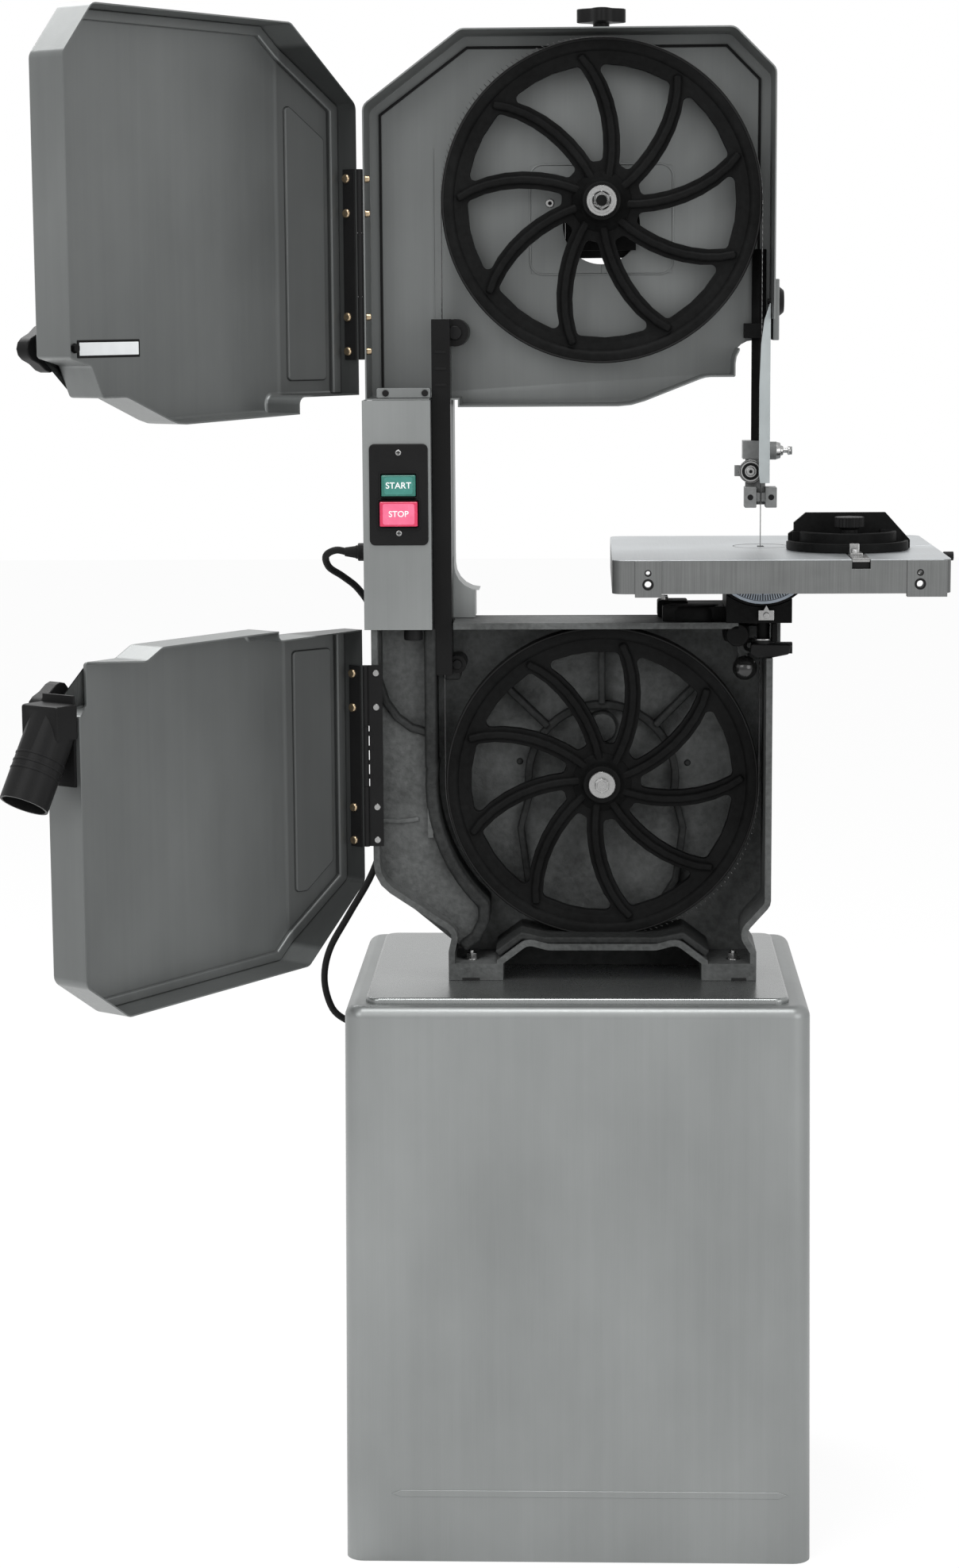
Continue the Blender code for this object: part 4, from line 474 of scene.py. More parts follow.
def arc(radius, start, end, centre=(0, LOWER_HUB), step=6):
    """Points on a circle, by default about the lower hub, between two angles in degrees."""
    count = max(2, math.ceil(abs(end - start) / step))
    turns = [math.radians(start + (end - start) * k / count) for k in range(count + 1)]
    return [(centre[0] + radius * math.cos(t), centre[1] + radius * math.sin(t)) for t in turns]


def ground(name, slot, stretch, dark, light, specks, metallic=1.0, detail=3.0):
    """Bare or plated metal; its specks are waves per metre, and roughness' spread and least."""
    made, wire, sockets = surface(name, slot, metallic=metallic)
    waves, spread, least = specks
    feed(
        wire,
        sockets,
        Base_Color=wire.grain(stretch, detail).blend(dark, light),
        Roughness=wire.grain((waves, waves, waves)) * spread + least,
    )
    return made


CAST_GREY = sand_cast(
    "cast_grey_sand", "cast_grey", (0.03, 0.0315, 0.031), (0.1, 0.104, 0.103), 0.62, 0.6, 0.2
)
# A darker copy of the cast grey, as painted shade on the ribs and inner walls.
CAST_PAINTED_SHADE = sand_cast(
    "cast_grey_painted_shade", "cast_grey", (0.008, 0.0084, 0.0083), (0.032, 0.0333, 0.033), 0.62, 0.6, 0.12
)
STEEL = ground(
    "steel_bright_turned",
    "steel_bright",
    (500, 30, 500),
    (0.26, 0.26, 0.26),
    (0.4, 0.4, 0.395),
    (300, 0.1, 0.22),
)

softened("base_casting", CAST_GREY, 2.2, 3)
BACK_WALL = 38
ribs = bmesh.new()
wall_line = [(-191, 1034), (-191, 880), *arc(191, 174, 226), (-133, 703), (-142, 684), (-158, 672)]
slab(ribs, ribbon(wall_line, 6.5), -30, BACK_WALL, 5, 4)
slab(ribs, ribbon(arc(83, -12, 192), 4.5), 22, BACK_WALL, 2.5, 3)
for side in (-1, 1):
    leg = [(side * x, z) for x, z in ((81, 842), (92, 800), (84, 740), (62, 705))]
    slab(ribs, ribbon(leg, 4), 24, BACK_WALL, 2.5, 3)
for turn in (45, 90, 136):
    way = Vector((math.cos(math.radians(turn)), math.sin(math.radians(turn))))
    ends = [Vector((0, LOWER_HUB)) + way * reach for reach in (84, 157)]
    slab(ribs, ribbon(ends, 4), 18, BACK_WALL, 2.5, 3)
pocket = [(-249, 1034), (-249, 975), (-241, 950), (-229, 933), (-213, 921), (-193, 915)]
slab(ribs, ribbon(pocket, 4), -25, BACK_WALL, 3, 4)
plate = bmesh.new()
floor_line = [*pocket[1:], (-191, 880), *arc(191, 174, 226), (-133, 703), (-146, 678)]
slab(plate, [*floor_line, (-160, 672), (-252, 748), (-252, 975)], -19, BACK_WALL, 1.5, 2)
slab(plate, [*pocket, (-193, 1034)], -8, BACK_WALL, 1)
slab(plate, ribbon([(-205, 818), (-226, 815), (-248, 816)], 2.6), -22.5, -17, 1.8, 3)
bar(plate, (0, BACK_WALL, 915), (0, 22, 915), 19, 16, soft=2)
piece("casting_plate", plate, CAST_GREY, "frame")
block(ribs, (-178, -158), (2, BACK_WALL), (972, 999), 4, segments=3)
bar(ribs, (-168, 6, 985), (-168, -1, 985), 4.5)
for x, z in ((-93, 875), (97, 873)):
    bar(ribs, (x, BACK_WALL, z), (x, 35.5, z), 4, 2.5, 20)
arch_line = [(-118, 668), (-90, 689), (-64, 683.5), (64, 683.5), (90, 689), (118, 668)]
slab(ribs, ribbon(arch_line, 4), -44, BACK_WALL, 2.5, 3)
# A wall between the feet at the back, which the imported model lacks, in the painted-shade grey: a dark
# backing that stands for the shade under the arch.
block(ribs, (-122, 122), (BACK_WALL, 44), (DECK_TOP + 0.1, 674), 1)
piece("casting_ribs", ribs, CAST_PAINTED_SHADE, "frame")
notches = bmesh.new()
casting_front = (SAW.inverted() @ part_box("base_casting")[0]).y
# Dark blocks at the foot of the casting's front stand for notches: painted shade.
for span in ((-157, -137), (144, 161)):
    block(notches, span, (casting_front - 0.2, casting_front + 1), (DECK_TOP + 0.1, 642), 0.4)
piece("feet_notch_shade", notches, DARK_SEAM_AND_SHADE, "frame")

feet_bolts = bmesh.new()
for x in (-147, 147):
    for low, high, radius, sides in ((657.5, 659, 8, 32), (659, 665, 6.4, 6), (665, 668, 3.4, 32)):
        bar(feet_bolts, (x, -20, low), (x, -20, high), radius, sides=sides)
piece("feet_bolts", feet_bolts, STEEL, "frame")


# Upper housing
# A pan of grey sheet round the upper wheel, with a pressed rib near its edge, a
# pressed panel behind the hub and the window that the wheel's slide works in.

GREY_TONES = (0.115, 0.121, 0.12), (0.185, 0.193, 0.191)
SHEET_GREY = brushed_sheet("sheet_grey_satin", "sheet_grey", *GREY_TONES, 0.7, 0.4)


def moulded(name, slot, dark, light, rough, specular, pits=700):
    """Moulded plastic or rubber: a fine even grain."""
    made, wire, sockets = surface(name, slot, specular=specular)
    fine = wire.grain((pits, pits, pits), 3)
    clouds = wire.grain((25, 25, 25), 2)
    feed(
        wire,
        sockets,
        Base_Color=(fine * 0.5 + clouds * 0.5).blend(dark, light),
        Roughness=fine * 0.16 + clouds * 0.08 + (rough - 0.12),
        Normal=fine.bump(0.2, 0.0003),
    )
    return made


PLASTIC = moulded(
    "plastic_black_moulded", "plastic_black", (0.004, 0.004, 0.004), (0.012, 0.012, 0.0123), 0.42, 0.09
)
RUBBER = moulded(
    "rubber_black_matt", "rubber_black", (0.007, 0.007, 0.007), (0.02, 0.02, 0.02), 0.7, 0.08
)

softened("upper_housing", SHEET_GREY, 1.0, 3)
PAN_FLOOR = 43
# A black line, 2.8 mm wide, runs along the housing's edge on the pan floor.
dark_line_path = [(-244.5, 1288), (-244.5, 1596), (-147.6, 1668), (137.5, 1668), (174, 1631.5), (174, 1352)]
seam = bmesh.new()
slab(seam, ribbon(dark_line_path, 1.4), 38.5, PAN_FLOOR, 0.6)
piece("housing_dark_line", seam, PLASTIC, "frame")
pressed = bmesh.new()
frame_line = rounded((-79, 79), (1421, 1541), 14)
slab(pressed, ribbon([*frame_line, frame_line[0]], 1.0), 41.4, PAN_FLOOR, 0.7)
slab(pressed, ribbon([(-186, 1289), (-186, 1560)], 0.5), 42.5, PAN_FLOOR, 0.2)
slab(pressed, rounded((-246, -187), (1288, 1299), 2), -47, -30, 0.8)
mask = [(-0.1, 1422), (-78, 1422), (-78, 1540), (78, 1540), (78, 1422), (0.1, 1422)]
slab(pressed, [*mask, *arc(42.5, -89.8, 269.8, (0, 1474.5))], 42.2, PAN_FLOOR + 0.2)
piece("housing_pressings", pressed, SHEET_GREY, "frame")
fixings = bmesh.new()
for x in (-236, -193):
    bar(fixings, (x, -46, 1293.5), (x, -50, 1293.5), 3.6, soft=1.2)
block(fixings, (158, 175), (34, PAN_FLOOR), (1353, 1366), 1.2)
piece("housing_fixings", fixings, PLASTIC, "frame")
silver = bmesh.new()
bar(silver, (-57, PAN_FLOOR, UPPER_HUB), (-57, 39, UPPER_HUB), 5.2, 4.6, soft=0.8)
bar(silver, (166.5, 34.5, 1359.5), (166.5, 33, 1359.5), 2.4)
piece("housing_screws", silver, STEEL, "frame")
# A flat dark hexagon on the screw's head: painted shade for its socket.
socket = bmesh.new()
bar(socket, (-57, 39.4, UPPER_HUB), (-57, 38.9, UPPER_HUB), 2.4, sides=6, soft=0)
piece("housing_screw_socket_shade", socket, PLASTIC, "frame")


# Doors
# Two deep pans of grey sheet on steel hinges, folded towards the hinge side, with
# a stepped ledge and a pressed panel beside the fold. Both hang open. Their colour is
# darkened beside the hinge as painted shade.

swing = Matrix.Translation((-262, -50, 0)) @ Matrix.Rotation(math.radians(-125), 4, "Z")
DOOR = SAW @ swing
FOLD = 82
FOLD_RISE = 18
PAN_DEPTH = 48
SHEET = 1.5
# The doors' sheet carries painted shade, darker within about 80 mm of the hinge line.
DOOR_GREY_HINGE_SHADE = brushed_sheet("sheet_grey_doors_hinge_shade", "sheet_grey", *GREY_TONES, 0.7, 0.4, (DOOR.inverted()[0], 80))
UPPER_SCREWS = (1524, 1487, 1376, 1339)
LOWER_SCREWS = (986, 948, 836, 799)


def door_pan(outline, ledge, panel, notch=None):
    """A pan that is open at Y = 0, with its ledge and pressed panel, then folded.

    Beside a notch, given by its edge's distance and height, the lip runs down to the panel.
    """
    pan = bmesh.new()
    face = pan.faces.new([pan.verts.new((s, -PAN_DEPTH, z)) for s, z in outline])
    push(pan, [face], (0, PAN_DEPTH, 0))
    bmesh.ops.recalc_face_normals(pan, faces=pan.faces)
    mouth = [f for f in pan.faces if f.normal.y > 0.9]
    bmesh.ops.inset_region(pan, faces=mouth, thickness=SHEET, use_even_offset=True)
    push(pan, mouth, (0, SHEET - PAN_DEPTH, 0))
    bmesh.ops.delete(pan, geom=mouth, context="FACES")
    bmesh.ops.recalc_face_normals(pan, faces=pan.faces)
    for depth, radius in ((PAN_DEPTH, 5), (PAN_DEPTH - SHEET, 3.5)):
        level = [e for e in pan.edges if all(abs(v.co.y + depth) < 0.01 for v in e.verts)]
        rolled(pan, [e for e in level if e.calc_face_angle() > 0.8], radius, 4)
    shape = bmesh.new()
    add(shape, pan)
    slab(shape, ledge, -47, -41, 1.8, 3)
    slab(shape, panel, -47, -43.4, 2, 3)
    for cut in (FOLD, FOLD + 5):
        whole = [*shape.verts, *shape.edges, *shape.faces]
        bmesh.ops.bisect_plane(shape, geom=whole, plane_co=(cut, 0, 0), plane_no=(1, 0, 0), dist=0.01)
    for vert in shape.verts:
        if vert.co.x < FOLD + 4 and vert.co.y < -1:
            rise = (FOLD - vert.co.x) * FOLD_RISE / (FOLD - 4)
            vert.co.y += max(rise, 0.6) * min(1, -vert.co.y / 41)
    if notch:
        for vert in shape.verts:
            if abs(vert.co.x - notch[0]) < 8 and vert.co.z > notch[1] and vert.co.y > -30:
                vert.co.y = -42
    return shape


upper_outline = fillet(
    [
        (4, 1292, 0),
        (4, 1602, 12),
        (110, 1682, 12),
        (407, 1682, 12),
        (450, 1632, 12),
        (450, 1339, 4),
        (420, 1331, 6),
        (405, 1299, 4),
        (370, 1299, 20),
        (295, 1269, 60),
        (104, 1274, 0),
        (104, 1292, 8),
    ]
)
upper_ledge = ribbon([(402, 1680.5), (110.5, 1680.5), (5.5, 1601), (5.5, 1293.5)], 11, 0)
upper_panel = fillet([(73, 1308, 5), (73, 1604, 5), (62, 1596, 5), (22, 1566, 5), (22, 1308, 5)])
lower_outline = fillet(
    [
        (4, 1035, 0),
        (4, 753, 12),
        (102, 673, 12),
        (388, 669, 12),
        (450, 711, 12),
        (450, 987, 3),
        (396, 987, 3),
        (396, 1033, 4),
        (350, 1033, 12),
        (326, 1045, 12),
        (144, 1045, 0),
        (144, 1035, 6),
    ]
)
lower_ledge = ribbon([(5.5, 1033.5), (5.5, 753.7), (102.5, 674.5), (387, 670.5)], 11, 0)
lower_panel = fillet([(73, 1015, 5), (22, 1015, 5), (22, 776, 5), (58, 746, 5), (73, 746, 5)])
upper = door_pan(upper_outline, upper_ledge, upper_panel)
piece("upper_door_pan", upper, DOOR_GREY_HINGE_SHADE, "upper_door", ["upper_door"], DOOR)
lower = door_pan(lower_outline, lower_ledge, lower_panel, (396, 985))
piece("lower_door_pan", lower, DOOR_GREY_HINGE_SHADE, "lower_door", ["lower_door"], DOOR)

BRASS = ground(
    "screw_brass",
    "steel_bright",
    (400, 400, 400),
    (0.24, 0.18, 0.115),
    (0.46, 0.36, 0.24),
    (600, 0.2, 0.2),
)
for name, body, heights, span in (
    ("upper", "upper_door", UPPER_SCREWS, (1330, 1534)),
    ("lower", "lower_door", LOWER_SCREWS, (792, 995)),
):
    for leaf in ("frame", "door"):
        softened(f"{name}_hinge_{leaf}_leaf", PLASTIC, 0.3)
    strip = bmesh.new()
    block(strip, (5.6, 7.2), (-17, -1.2), span, 0.4)
    piece(name + "_door_hinge_strip", strip, PLASTIC, body, place=DOOR)
    screws = bmesh.new()
    for height in heights:
        bar(screws, (7, -12, height), (10, -12, height), 5.4, 4.2, soft=1)
    piece(name + "_door_hinge_screws", screws, BRASS, body, place=DOOR)
frame_screws = bmesh.new()
for height in UPPER_SCREWS:
    bar(frame_screws, (-256.5, -38, height), (-251, -38, height), 4.2, 3.4, soft=0.9)
piece("upper_frame_hinge_screws", frame_screws, BRASS, "frame")
knuckles = bmesh.new()
for height in (868, 884, 900, 916):
    block(knuckles, (-260, -254.5), (-49.6, -45.5), (height, height + 5), 0.4)
piece("lower_hinge_knuckles", knuckles, PLASTIC, "frame")
frame_screws = bmesh.new()
for height in LOWER_SCREWS:
    bar(frame_screws, (-250, -48.7, height), (-250, -49.8, height), 4.2, 3.2, soft=0.6)
piece("lower_frame_hinge_screws", frame_screws, STEEL, "frame")
for knob in ("upper_door_knob", "lower_door_knob"):
    softened(knob, PLASTIC, 1.6, 3, 45)

label = bmesh.new()
slab(label, rounded((301, 392), (1338, 1356), 1), -46.6, -46.0, 0.2)
bar(label, (396, -46.5, 1348), (396, -42, 1348), 5.5, 4.6, sides=6, soft=0.8)
piece("label_frame", label, PLASTIC, "upper_door", place=DOOR)
PAPER = even("label_pale", "zinc_pale", 60, (0.6, 0.62, 0.63), (0.7, 0.72, 0.73), 0.6)
label = bmesh.new()
slab(label, rounded((303, 389), (1340.5, 1353.5), 0.5), -46.2, -45.8, 0.1)
piece("label_face", label, PAPER, "upper_door", place=DOOR)


# Dust port
# A black moulded hood on the lower door's free edge, with a round spigot that leans
# down and outwards and takes a hose over its ribbed end.

softened("dust_port", PLASTIC, 1.2, 3, 40)
port = bmesh.new()
lean = Vector((0.5, 0, -math.cos(math.radians(30))))
top = Vector((456.3, -26, 985))
for along in (46, 54, 62):
    bar(port, top + lean * along, top + lean * (along + 2.2), 25.6, soft=0.4)
piece("dust_port_rings", port, PLASTIC, "lower_door", place=DOOR)


# Band wheels
# Cast iron wheels with nine swept spokes, each with a raised rib down its middle.
# The rim is turned to take a rubber tyre, and the wheels are painted satin black.

CAST_BLACK = sand_cast(
    "cast_black_painted", "cast_black", (0.003, 0.003, 0.003), (0.008, 0.0082, 0.0082), 0.5, 0.14, 0.04
)
SPOKES = 9


def turned(shape, profile, centre, axis=(0, -1, 0), sides=72, soft=0.0):
    """A closed profile of (radius, height) points spun about an axis through centre."""
    part = bmesh.new()
    points = [part.verts.new((r, 0, h)) for r, h in profile]
    lines = [part.edges.new(pair) for pair in zip(points, points[1:])]
    if profile[0][0] > 0 or profile[-1][0] > 0:
        lines.append(part.edges.new((points[-1], points[0])))
    bmesh.ops.spin(
        part,
        geom=[*points, *lines],
        cent=(0, 0, 0),
        axis=(0, 0, 1),
        angle=2 * math.pi,
        steps=sides,
        use_merge=True,
    )
    bmesh.ops.remove_doubles(part, verts=part.verts, dist=0.001)
    turn = Vector(axis).to_track_quat("Z", "Y").to_matrix().to_4x4()
    bmesh.ops.transform(part, matrix=Matrix.Translation(centre) @ turn, verts=part.verts)
    add(shape, part, soft)


def spoke_turn(radius):
    """How far a spoke lies behind its rim end at this radius, in radians."""
    share = max(0.0, 1 - (radius - 21) / 140)
    return -math.radians(27) * share**0.85


def band_wheel(height, first, hub):
    """A cast wheel at this height, with its first spoke's angle and its hub's profile."""
    shape = bmesh.new()
    web = bmesh.new()
    pitch = 2 * math.pi / SPOKES
    half, outer = 9.5, 147

    def at(radius, turn):
        return radius * math.cos(turn), height + radius * math.sin(turn)

    rings = [[at(157, 2 * math.pi * k / 72) for k in range(72)]]
    radii = [44, 58, 74, 92, 110, 128, outer]
    for spoke in range(SPOKES):
        start = first + pitch * spoke
        one = [at(r, start + spoke_turn(r) + half / r) for r in radii]
        other = [at(r, start + pitch + spoke_turn(r) - half / r) for r in reversed(radii)]
        begin = start + half / outer
        rim_arc = [at(outer, begin + (pitch - 2 * half / outer) * k / 4) for k in (1, 2, 3)]
        corners = [(*p, 0) for p in [*one, *rim_arc, *other]]
        for k, radius in ((0, 5), (6, 6), (10, 6), (16, 5)):
            corners[k] = (*corners[k][:2], radius)
        rings.append(fillet(corners))
    edges = []
    for ring in rings:
        points = [web.verts.new((x, -8, z)) for x, z in ring]
        edges += [web.edges.new((points[i - 1], points[i])) for i in range(len(points))]
    bmesh.ops.triangle_fill(web, edges=edges, use_beauty=True, normal=(0, -1, 0))
    bmesh.ops.dissolve_limit(web, angle_limit=0.01, verts=web.verts, edges=web.edges)
    push(web, web.faces[:], (0, 12, 0))
    add(shape, web, 1.3, 2, 60)
    for spoke in range(SPOKES):
        start = first + pitch * spoke
        line = [at(r, start + spoke_turn(r)) for r in (19, 30, 42, 56, 72, 90, 108, 126, 143, 158)]
        slab(shape, ribbon(line, 4.6), -14.5, -7, 3.4, 4)
    rim = [(172.3, 13), (167, 13), (163, 11.6), (161, 8.4), (153, 8.2), (149, 6.2), (148.5, 0), (148.5, -4)]
    rim += [(150, -10), (156, -13), (172.3, -13)]
    turned(shape, rim, (0, 0, height), sides=108)
    turned(shape, hub, (0, 0, height), sides=48, soft=0.8)
    return shape


waist = [(33, 9), (33, 0), (24, -5)]
upper_hub = [(10.4, 38), (20, 38), (21, 37), (21.5, 30), (24, 20), *waist, (22, -24), (10.4, -24)]
lower_hub = [(12.9, 30), (20, 30), (21, 29), (22, 22), (25, 15), *waist, (22, -20), (12.9, -20)]
upper_wheel = band_wheel(UPPER_HUB, math.radians(99.6), upper_hub)
piece("upper_wheel_cast", upper_wheel, CAST_BLACK, "upper_band_wheel", ["upper_wheel"], smooth=40)
lower_wheel = band_wheel(LOWER_HUB, math.radians(3), lower_hub)
piece("lower_wheel_cast", lower_wheel, CAST_BLACK, "lower_band_wheel", ["lower_wheel"], smooth=40)
for name, height in (("upper", UPPER_HUB), ("lower", LOWER_HUB)):
    tyre = bmesh.new()
    profile = [(175, 11.5), (174, 13), (172.6, 13), (172.6, -13), (174, -13), (175, -11.5)]
    turned(tyre, profile, (0, 0, height), sides=144)
    piece(name + "_tyre_rubber", tyre, RUBBER, name + "_band_wheel", [name + "_tyre"])
nut = bmesh.new()
hub = (0, 0, UPPER_HUB)
turned(nut, [(0, 41.2), (16, 41.2), (17, 40.2), (17, 38.3), (0, 38.3)], hub, sides=48)
turned(nut, [(10.6, 43), (13.2, 43), (13.4, 42), (13.4, 41), (10.6, 41)], hub, sides=48)
bar(nut, (0, -41, UPPER_HUB), (0, -46.3, UPPER_HUB), 10.8, sides=6, soft=0.8)
turned(nut, [(4.6, 48.2), (6, 48.2), (6.4, 47.6), (6.4, 45), (4.6, 45)], hub, sides=32)
piece("upper_hub_nut", nut, STEEL, "upper_axle")
softened("upper_shaft", CAST_BLACK, 0.6)
softened("lower_shaft", STEEL, 0.5)
# A flat dark disc in the ring at the nut's middle: painted shade for the socket there.
dark = bmesh.new()
bar(dark, (0, -46.5, UPPER_HUB), (0, -47.4, UPPER_HUB), 4.7, soft=0.2)
piece("upper_hub_socket_shade", dark, PLASTIC, "upper_axle")
bolt = bmesh.new()
hub = (0, 0, LOWER_HUB)
turned(bolt, [(0, 33.6), (14.4, 33.6), (15.2, 32.6), (15.2, 30.3), (0, 30.3)], hub, sides=48)
bar(bolt, (0, -33.4, LOWER_HUB), (0, -38.5, LOWER_HUB), 9, 8.2, sides=6, soft=0.7)
turned(bolt, [(3.4, 39), (5.4, 39), (5.8, 38.4), (5.8, 37), (3.4, 37)], hub, sides=32)
piece("lower_hub_bolt", bolt, STEEL, "lower_band_wheel")


# Column and its cover
# A welded box tube joins base and upper housing. A brushed sheet channel is screwed
# over its front and carries the switch.

softened("column", SHEET_LIGHT, 1.2, 3)
softened("column_cover", SHEET_LIGHT, 0.8, 2)
stop_pin = bmesh.new()
bar(stop_pin, (-209, -30, 1034), (-209, -30, 1021), 10.5, soft=1.5)
piece("cover_stop", stop_pin, PLASTIC, "frame")


# Switch
# A moulded plate with a green and a red push button, each in its own raised frame,
# held by two cross-head screws. The words are printed on the buttons.


def lettering(name, words, size, middle, finish, body, turn=0):
    """Flat printed words that face the front, centred on a point and turned in degrees."""
    text = bpy.data.curves.new(name, "FONT")
    text.body = words
    text.size = size
    text.align_x = "CENTER"
    text.align_y = "CENTER"
    text.extrude = 0.15
    text.offset = size * 0.012
    source = bpy.data.objects.new(name + "_source", text)
    scene.collection.objects.link(source)
    graph = bpy.context.evaluated_depsgraph_get()
    graph.update()
    shape = bmesh.new()
    shape.from_mesh(bpy.data.meshes.new_from_object(source.evaluated_get(graph)))
    bpy.data.objects.remove(source, do_unlink=True)
    upright = Matrix.Translation(middle) @ Matrix.Rotation(math.radians(90), 4, "X")
    spin = Matrix.Rotation(math.radians(turn), 4, "Z")
    bmesh.ops.transform(shape, matrix=upright @ spin, verts=shape.verts)
    piece(name, shape, finish, body)


def gloss(name, slot, dark, light):
    """Glossy moulded push button, a little cloudy."""
    made, wire, sockets = surface(name, slot, specular=0.5)
    clouds = wire.grain((90, 90, 90), 3)
    feed(wire, sockets, Base_Color=clouds.blend(dark, light), Roughness=clouds * 0.12 + 0.2)
    return made


START_FACE = gloss("start_face_gloss", "start_green", (0.024, 0.15, 0.125), (0.045, 0.21, 0.175))
STOP_FACE = gloss("stop_face_gloss", "stop_red", (0.62, 0.09, 0.18), (0.72, 0.15, 0.26))
START_GREEN = gloss("start_green_gloss", "start_green", (0.01, 0.095, 0.075), (0.025, 0.16, 0.125))
STOP_RED = gloss("stop_red_gloss", "stop_red", (0.45, 0.015, 0.06), (0.58, 0.035, 0.1))
INK = even("ink_white", "zinc_pale", 200, (0.62, 0.64, 0.64), (0.78, 0.8, 0.8), 0.5)
BUTTON_X = -222.5

softened("switch_body", PLASTIC, 1.4, 4)
trim = bmesh.new()
for x, z in (((-243, -202), (1178.5, 1207.5)), ((-245.5, -199.5), (1145.5, 1178.5))):
    line = rounded(x, z, 2.5)
    slab(trim, ribbon([*line, line[0]], 0.9), -53.2, -51, 0.6)
piece("switch_frames", trim, PLASTIC, "frame")
for name, rim, finish, word, size, z, half, proud in (
    ("start_button", START_GREEN, START_FACE, "START", 9.6, 1193, (15.5, 9.5), -54.6),
    ("stop_button", STOP_RED, STOP_FACE, "STOP", 9.2, 1162, (17.5, 11.5), -56.6),
):
    softened(name, rim, 1.8, 4)
    face = bmesh.new()
    edge = rounded((BUTTON_X - half[0], BUTTON_X + half[0]), (z - half[1], z + half[1]), 2.5)
    slab(face, edge, proud - 0.15, proud + 1, 0.3)
    piece(name + "_face", face, finish, name)
    lettering(name + "_word", word, size, (BUTTON_X, proud - 0.2, z), INK, name)
switch_screws = bmesh.new()
for z in (1229, 1141):
    bar(switch_screws, (BUTTON_X, -51.8, z), (BUTTON_X, -53.2, z), 3.7, 3.0, soft=0.5)
piece("switch_screws", switch_screws, STEEL, "frame")
# Flat dark crosses on the screw heads: painted shade for their slots.
slots = bmesh.new()
for z in (1229, 1141):
    block(slots, (-224.7, -220.3), (-53.35, -53.1), (z - 0.5, z + 0.5), 0.1)
    block(slots, (-223, -222), (-53.35, -53.1), (z - 2.2, z + 2.2), 0.1)
piece("switch_screw_slot_shade", slots, PLASTIC, "frame")


# Blade channel and blade
# A black folded channel guards the rising run of the blade. The band is spring steel
# with a tooth every 6.4 mm along its front edge, all pointing down at the table.

CHANNEL = moulded(
    "channel_black_satin", "plastic_black", (0.003, 0.003, 0.003), (0.008, 0.008, 0.0081), 0.34, 0.1
)
BLADE_LINE = 175.7
TOOTH_PITCH = 6.4
softened("blade_channel", CHANNEL, 1.5, 3)
channel_bolts = bmesh.new()
bar(channel_bolts, (-161.6, -8, 1358), (-161.6, -11.5, 1358), 8.5, 7.5, soft=1.2)
bar(channel_bolts, (-161.6, -8, 991), (-161.6, -11, 991), 6, 5.2, soft=1)
for z in (1300, 1318, 1336):
    block(channel_bolts, (-183, -170.5), (-25.8, -24.5), (z, z + 3), 0.3)
piece("channel_bolts", channel_bolts, PLASTIC, "frame")

STEEL_BLADE = ground(
    "steel_blade_ground",
    "steel_blade",
    (300, 60, 60),
    (0.06, 0.06, 0.06),
    (0.14, 0.14, 0.14),
    (500, 0.2, 0.25),
)
band = bmesh.new()
rows = []
for radius in (176.0, 175.4):
    loop = [*arc(radius, 0, 180, (0, UPPER_HUB), 3), *arc(radius, 180, 360, step=3)]
    points = [band.verts.new((x, -4.4, z)) for x, z in loop]
    rows.append([band.edges.new((points[i - 1], points[i])) for i in range(len(points))])
bmesh.ops.bridge_loops(band, edges=rows[0] + rows[1])
push(band, band.faces[:], (0, 10.7, 0))
saw = bmesh.new()
add(saw, band)
run = UPPER_HUB - LOWER_HUB
turn_length = math.pi * BLADE_LINE
for k in range(math.floor((2 * run + 2 * turn_length) / TOOTH_PITCH)):
    along = k * TOOTH_PITCH
    if along < run:
        point, heading = (BLADE_LINE, UPPER_HUB - along), 180
    elif along < run + turn_length:
        bend = math.degrees((along - run) / BLADE_LINE)
        point, heading = arc(BLADE_LINE, -bend, -bend - 1)[0], 180 - bend
    elif along < 2 * run + turn_length:
        point, heading = (-BLADE_LINE, LOWER_HUB + along - run - turn_length), 0
    else:
        bend = math.degrees((along - 2 * run - turn_length) / BLADE_LINE)
        point, heading = arc(BLADE_LINE, 180 - bend, 179 - bend, (0, UPPER_HUB))[0], -bend
    tooth = bmesh.new()
    corners = [tooth.verts.new(p) for p in ((-0.3, -4.4, 0), (-0.3, -4.4, 4.6), (-0.3, -6.3, 4.4))]
    push(tooth, [tooth.faces.new(corners)], (0.6, 0, 0))
    turn = Matrix.Rotation(math.radians(heading), 3, "Y")
    bmesh.ops.rotate(tooth, cent=(0, 0, 0), matrix=turn, verts=tooth.verts)
    bmesh.ops.translate(tooth, vec=(point[0], 0, point[1]), verts=tooth.verts)
    add(saw, tooth)
piece("saw_blade_band", saw, STEEL_BLADE, "frame", ["saw_blade"])


# Blade tension and tracking
# Cast slide and bracket behind the housing, with a coil spring, a lobed tension knob
# on top and a small star knob that tilts the upper wheel.

for name in ("tension_bracket", "wheel_slide"):
    softened(name, CAST_BLACK, 1.2, 3)
for name in ("tension_knob", "tracking_knob"):
    softened(name, PLASTIC, 1.6, 3, 45)
spring = softened("tension_spring", STEEL, 0.0, rides=False)
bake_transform(spring)


# Blade guides
# A steel post slides in a cast socket and carries an iron holder with a bearing
# behind the blade, a square guide on each side and a pale plated guard in front.

